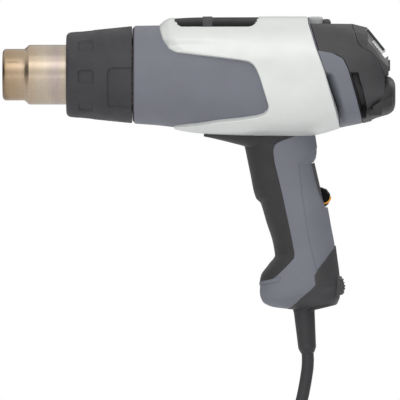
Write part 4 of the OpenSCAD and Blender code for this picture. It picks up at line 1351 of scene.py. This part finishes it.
    def knob(self) -> None:
        """Domed knob of the slide switch with its ribs, and the orange strokes let into it."""
        front, up = self.knob_middle
        turn = np.radians(np.linspace(-105, 75, 120))[:, None]
        side = self.knob_half * np.sin(np.radians(np.linspace(-90, 90, 60)))[None, :]
        ribs = 0.22 * smoothstep(np.sin(turn * 11) * 1.6) * (turn > math.radians(-62))
        reach = self.crown(self.knob_r, side) - ribs
        back = np.maximum(front + np.cos(turn + self.knob_tilt) * reach, 18.3)
        along = up + np.sin(turn + self.knob_tilt) * reach
        side = np.broadcast_to(side, along.shape)
        outer = on_grip(along, side, back)
        inner = on_grip(along * 0.86 + up * 0.14, side * 0.86, np.full_like(along, 17.6))
        fit(shell("slide_knob_skin", outer, inner, Wrap.OPEN), "black_gloss", "slider", "slide_knob")
        for way in (-1, 1):
            self.side_stroke(way)
        turn = np.linspace(math.radians(-33), math.radians(-15), 30)[:, None]
        side = (self.knob_half - 0.15) * np.linspace(-1, 1, 40)[None, :]
        reach = self.crown(self.knob_r + 0.1, side)
        outer, inner = (on_grip(up + np.sin(turn) * r, side, front + np.cos(turn) * r) for r in (reach, reach - 0.6))
        fit(shell("knob_stroke", outer, inner, Wrap.OPEN), "orange_mark", "slider", "knob_mark")

    def crown(self, radius: float, side: np.ndarray) -> np.ndarray:
        """Radius of the knob across its width, less at its sides."""
        return radius - self.knob_crown * np.abs(side / self.knob_half) ** 3.0

    def side_stroke(self, way: int) -> None:
        """Orange line on one side face of the knob, curving from near its middle to its rim.

        Args:
            way: -1 for the right-hand face, 1 for the left-hand one.
        """
        t = np.linspace(0, 1, 40)
        angle = np.radians(-78 + 70 * t)
        r = 3.3 + 3.6 * np.sqrt(t)
        wide = np.array([-0.55, -0.4, 0.4, 0.55])
        lift = np.array([0.0, 0.25, 0.25, 0.0])
        reach = r[:, None] + wide[None, :]
        back = self.knob_middle[0] + reach * np.cos(angle)[:, None]
        along = self.knob_middle[1] + reach * np.sin(angle)[:, None]
        face = np.broadcast_to(way * (self.knob_half - 0.05 + lift)[None, :], back.shape)
        under = np.full_like(face, way * (self.knob_half - 0.9))
        piece = shell("side_stroke_left" if way > 0 else "side_stroke_right", on_grip(along, face, back),
                      on_grip(along, under, back), Wrap.OPEN)
        fit(piece, "orange_mark", "slider")

    def catch(self) -> bpy.types.Object:
        """Ribbed catch, its profile taken along the grip and drawn across it.

        Returns:
            The catch.
        """
        s = np.linspace(*self.catch_span, 150)
        bulge = np.interp(s, *zip(*self.catch_outline))
        waves = smoothstep(0.5 + 0.9 * np.sin((s + 54.4) * 2 * math.pi / self.catch_pitch))
        ribs = self.catch_ribs * waves * (s > -63.2) * (s < -52.8)
        t = np.linspace(-1, 1, 60)
        ease = 1.6 * np.abs(t) ** 4
        back = (bulge - ribs)[:, None] - ease[None, :]
        side = np.broadcast_to(self.catch_half * t[None, :], back.shape)
        along = np.broadcast_to(s[:, None], back.shape)
        outer = on_grip(along, side, back)
        inner = on_grip(along, side, np.full_like(back, self.catch_floor))
        return shell("module_catch_skin", outer, inner, Wrap.OPEN)

    def build(self) -> None:
        """Makes and finishes the grip's pieces."""
        fit(self.shell(), "blue_grey_plastic", CASING, "housing_left", "housing_right")
        fit(self.soft(), "soft_rubber", CASING, "grip_left", "grip_right")
        fit(self.lip(), "soft_rubber", CASING)
        fit(self.rim(), "blue_grey_plastic", CASING)
        fit(self.module(), "black_plastic", CASING, "lead_module")
        fit(self.foot(), "black_plastic", CASING)
        fit(self.catch(), "black_plastic", "catch", "module_catch")
        self.knob()


LEAD_ROUTE = [(7.63, 0, -97.7), (7.8, 0, -102), (7.6, 0, -107), (6.8, 0, -113), (5.8, 0, -119), (4.4, 0, -126),
              (2.4, -1, -134), (-0.4, -2, -143), (-4, -3, -152), (-8.4, -4, -161), (-13, -5, -170),
              (-17.4, -6, -179), (-21.4, -7, -188), (-24.6, -8, -197)]
TAIL_ROUTE = [(-18, -13.4, -214), (-17.8, -16.6, -222), (-17.4, -21, -230), (-17, -25.6, -238),
              (-16.4, -29, -246), (-16, -30.7, -254), (-16, -31, -262)]


@dataclass
class MainsLead:
    """Mains lead: strain relief, cord with its tied coil, and the moulded plug."""

    centre: tuple[float, float] = (22.0, -206.0)
    outer_r: float = 48.2
    inner_r: float = 40.0
    turn_points: int = 16
    lane_step: float = 8.2
    cross_from: float = 0.68
    slack: float = 1.006
    relief_place: tuple[float, float] = (5.3, -69.3)
    relief_tilt: float = math.radians(4.7)
    tie_half: float = 17.6
    tie_span: tuple[float, float] = (-171.2, -153.0)
    tie_corner: float = 2.5
    tie_thickness: float = 1.3
    tie_width: float = 8.6
    plug_place: tuple[float, float, float] = (-16.0, -31.0, -262.0)

    def coil_points(self) -> list[tuple[float, float, float]]:
        """Coil: an outer layer of three turns and an inner one of four.

        Each turn keeps its lane over most of its length and crosses to the next in its last part.

        Returns:
            Points of the cord's middle line.
        """
        lanes = [(self.lane_step * k, self.outer_r) for k in (-1.0, 0.0, 1.0)]
        lanes += [(self.lane_step * k, self.inner_r) for k in (1.5, 0.5, -0.5, -1.5)]
        found = []
        for turn, (side, radius) in enumerate(lanes):
            after = lanes[min(turn + 1, len(lanes) - 1)]
            for i in range(self.turn_points):
                crossing = (i / self.turn_points - self.cross_from) / (1 - self.cross_from)
                share = float(smoothstep(np.array(crossing)))
                r = radius + (after[1] - radius) * share
                y = side + (after[0] - side) * share
                a = math.pi + 2 * math.pi * i / self.turn_points
                found.append((self.centre[0] + r * math.cos(a), y, self.centre[1] + r * math.sin(a)))
        found.append((self.centre[0] - self.inner_r, lanes[-1][0], self.centre[1]))
        return found

    def cord(self) -> tuple[bpy.types.Object, float]:
        """Cord as one smooth line.

        Returns:
            The cord and its length in metres.
        """
        points = np.array([*LEAD_ROUTE, *self.coil_points(), *TAIL_ROUTE], float) * MM
        curve = bpy.data.curves.new("mains_cord", "CURVE")
        curve.dimensions = "3D"
        curve.resolution_u = 5
        curve.bevel_depth = LEAD_D / 2 * MM
        curve.bevel_resolution = 5
        curve.use_fill_caps = True
        line = curve.splines.new("BEZIER")
        line.bezier_points.add(len(points) - 1)
        line.bezier_points.foreach_set("co", points.reshape(-1))
        for point in line.bezier_points:
            point.handle_left_type = "AUTO"
            point.handle_right_type = "AUTO"
        length = float(np.linalg.norm(np.diff(points, axis=0), axis=1).sum()) * self.slack
        return link("mains_cord", curve), length

    def relief(self) -> bpy.types.Object:
        """Tapered strain relief with a collar, in the foot's leaning direction.

        Returns:
            The relief.
        """
        tilt, angle = self.relief_tilt, full_turn(96)
        outline = [(3.0, 4.2), (3.0, 7.2), (0.2, 7.2), (-1.0, 7.05), (-1.4, 6.9), (-25.0, 5.9), (-28.5, 4.35)]
        profile = along_line(outline, 1.2)
        down, r = profile[:, :1], profile[:, 1:2]
        x = self.relief_place[0] - down * math.sin(tilt) + r * np.cos(angle) * math.cos(tilt)
        z = self.relief_place[1] + down * math.cos(tilt) + r * np.cos(angle) * math.sin(tilt)
        rows = np.stack(np.broadcast_arrays(x, r * np.sin(angle), z), -1)
        return solid("strain_relief_skin", rows)

    def on_plug(self, along: np.ndarray, side: np.ndarray, up: np.ndarray) -> np.ndarray:
        """Plug's frame, with along downwards from its top, to the shared frame."""
        return np.stack(np.broadcast_arrays(up, side, -along), -1) + np.array(self.plug_place)

    def plug(self) -> bpy.types.Object:
        """Moulded plug: a ringed relief that swells into a flat-sided body.

        Returns:
            The plug.
        """
        form = Form([
            (0, 5.2, -5.2, 5.2, 2.0),
            (24, 6.4, -6.4, 6.4, 2.0),
            (29, 8.6, -8.6, 8.6, 2.0),
            (36, 11.2, -11.2, 11.6, 2.1),
            (50, 14.8, -14.8, 12.9, 2.5),
            (58, 16.6, -16.6, 12.9, 2.7),
            (60.5, 17.4, -17.4, 13.0, 2.8),
            (67.2, 17.5, -17.5, 13.0, 2.9),
            (68, 16.8, -16.8, 12.3, 2.9),
        ], self.on_plug)
        s = np.linspace(0, 68, 240)
        rings = 0.55 * self.ribs(s, 3.2, 1.4, (3, 24))
        grips = 0.5 * self.ribs(s, 3.0, 1.3, (38, 56))
        sides = np.abs(np.sin(full_turn(160)))[None, :] ** 2
        rows = form.rings(s, 160, -rings[:, None] - grips[:, None] * sides)
        return solid("plug_body_skin", np.stack([*rows, drawn_in(rows[-1], 0.5)]))

    @staticmethod
    def ribs(s: np.ndarray, pitch: float, sharpness: float, span: tuple[float, float]) -> np.ndarray:
        """Row of ribs along the plug."""
        waves = smoothstep(np.sin(s * 2 * math.pi / pitch) * sharpness)
        return waves * smoothstep((s - span[0]) / 2) * smoothstep((span[1] - s) / 2)

    def tie(self) -> bpy.types.Object:
        """Strap round the coil's top: a flat band swept round a rounded rectangle.

        Returns:
            The strap.
        """
        half_y, (low, high), corner = self.tie_half, self.tie_span, self.tie_corner
        corners = [(-half_y + corner, low + corner, 180), (half_y - corner, low + corner, 270),
                   (half_y - corner, high - corner, 0), (-half_y + corner, high - corner, 90)]
        ring, grown = (np.array([p for y, z, a in corners for p in arc((y, z), r, a, a + 90, 8)])
                       for r in (corner, corner + self.tie_thickness))
        edge = self.tie_width / 2
        profile = [(ring, -edge), (grown, -edge), (grown, edge), (ring, edge)]
        rows = np.stack([np.stack([np.full(len(c), self.centre[0] + x), c[:, 0], c[:, 1]], -1) for c, x in profile])
        faces = grid_faces(5, rows.shape[1], 0, Wrap.CLOSED) % (4 * rows.shape[1])
        return mesh_object("coil_strap", rows.reshape(-1, 3), faces)

    def build(self) -> None:
        """Makes and finishes the lead's pieces."""
        cord, length = self.cord()
        plug = self.plug()
        fit(cord, "lead_rubber", CASING, "cord_run", "cord_coil")
        fit(plug, "lead_rubber", CASING, "plug_body")
        strap = fit(self.tie(), "tie_plastic", CASING, "coil_tie")
        fit(self.relief(), "lead_rubber", CASING, "strain_relief")


def dress_cad_nodes(slots: dict[str, str]) -> None:
    """Finishes every CAD node that stays in sight, and rounds the edges of those at the rear.

    Args:
        slots: Material slot of each node.
    """
    edges = {"display_housing": 0.5, "button_1": 0.5, "button_2": 0.5, "button_3": 0.5, "button_4": 0.5,
             "display_lens": 0.15, "display_trim": 0.15, "plug_pins": 0.5, "switch_frame": 0.4}
    for name, obj in frame["nodes"].items():
        if obj.hide_render:
            continue
        finish(obj, slots[name])
        if name in edges:
            weld = obj.modifiers.new("weld", "WELD")
            weld.merge_threshold = WELD_DISTANCE
            edge = obj.modifiers.new("edge", "BEVEL")
            edge.width = edges[name] * MM
            edge.segments = 3
            edge.limit_method = "ANGLE"
            edge.angle_limit = math.radians(35)


@dataclass
class Studio:
    """Camera, lights, backdrop and floor."""

    target: tuple[float, float, float] = (-63.4, 0.0, 3.3)
    distance: float = 6000.0
    view_width: float = 264.0
    sensor: float = 36.0
    floor_reach: float = 1500.0
    floor_thickness: float = 10.0
    floor_z: float = -353.0
    lights: tuple = (
        ("top_softbox", (-0.15, -0.75, 1.15), (-0.05, 0.0, 0.05), (1.6, 1.0), 1.8),
        ("front_softbox", (-0.35, -1.5, 0.55), (-0.05, 0.0, 0.03), (2.6, 2.0), 12.0),
        ("rear_softbox", (1.0, 0.9, 0.9), (0.0, 0.0, 0.03), (0.8, 0.8), 4.0),
    )
    dome: tuple = ((0.0, 0.55), (0.46, 0.5), (0.51, 0.12), (0.65, 0.16), (0.74, 0.75), (1.0, 0.8))

    def camera(self) -> None:
        """Sets the camera level with the gun, square to its side."""
        data = bpy.data.cameras.new("camera")
        data.sensor_width = self.sensor
        data.lens = self.sensor * self.distance / self.view_width
        data.clip_end = 40.0
        obj = link("camera", data)
        obj.location = (self.target[0] * MM, -self.distance * MM, self.target[2] * MM)
        obj.rotation_euler = (math.radians(90), 0.0, 0.0)
        bpy.context.scene.camera = obj

    def light(self, name: str, place: tuple, aim: tuple, size: tuple, power: float) -> None:
        """Adds one soft light.

        Args:
            name: Its name.
            place: Where it is, in metres.
            aim: What it points at, in metres.
            size: Its width and height in metres.
            power: Its power in watts.
        """
        data = bpy.data.lights.new(name, "AREA")
        data.shape = "RECTANGLE"
        data.size, data.size_y = size
        data.energy = power
        obj = link(name, data)
        from_to = np.array(aim, float) - np.array(place, float)
        pitch = math.atan2(-from_to[2], math.hypot(from_to[0], from_to[1]))
        obj.location = place
        obj.rotation_euler = (math.pi / 2 - pitch, 0.0, math.atan2(from_to[1], from_to[0]) - math.pi / 2)

    def build(self) -> None:
        """Makes the lights, the world and the floor."""
        world = bpy.data.worlds.new("studio")
        world.use_nodes = True
        tree = world.node_tree
        dome = tree.nodes["Background"]
        split = add_node(tree, "SeparateXYZ")
        tree.links.new(add_node(tree, "TexCoord").outputs["Generated"], split.inputs["Vector"])
        height = map_range(tree, split.outputs["Z"], (-1.0, 1.0))
        tree.links.new(ramp(tree, height, [(at, (tone,) * 3) for at, tone in self.dome]), dome.inputs["Color"])
        seen = add_node(tree, "Background", Color=(1.0, 1.0, 1.0, 1.0))
        mix = add_node(tree, "MixShader")
        tree.links.new(add_node(tree, "LightPath").outputs["Is Camera Ray"], mix.inputs["Fac"])
        tree.links.new(dome.outputs["Background"], mix.inputs[1])
        tree.links.new(seen.outputs["Background"], mix.inputs[2])
        tree.links.new(mix.outputs["Shader"], tree.nodes["World Output"].inputs["Surface"])
        bpy.context.scene.world = world
        bpy.context.scene.view_settings.view_transform = "Standard"
        for light in self.lights:
            self.light(*light)
        sides = [[0, 1, 2, 3], [4, 7, 6, 5], [0, 4, 5, 1], [1, 5, 6, 2], [2, 6, 7, 3], [3, 7, 4, 0]]
        floor = finish(mesh_object("floor", self.floor_points(), np.array(sides)), "floor_board")

    def floor_points(self) -> np.ndarray:
        """Corners of the floor slab.

        Returns:
            Eight points in millimetres.
        """
        far = self.floor_reach
        square = [(-far, -far), (far, -far), (far, far), (-far, far)]
        levels = (self.floor_z, self.floor_z - self.floor_thickness)
        return np.array([(x, y, z) for z in levels for x, y in square], float)


def main() -> None:
    """Builds the scene in order."""
    logging.basicConfig(level=logging.INFO, format="%(message)s")
    studio = Studio()
    studio.camera()
    steps = [("lead", MainsLead().build), ("outlet", Outlet().build), ("body", Body().build), ("grip", Grip().build)]
    for name, step in steps:
        step()
        LOG.info("%s made", name)
    slots = {row["node"]: row["material_slot"] for row in frame["record"]["subparts"]}
    slots["display_trim"] = "clear_lens"
    dress_cad_nodes(slots)
    studio.build()
    LOG.info("sizes written")


if __name__ == "__main__":
    main()
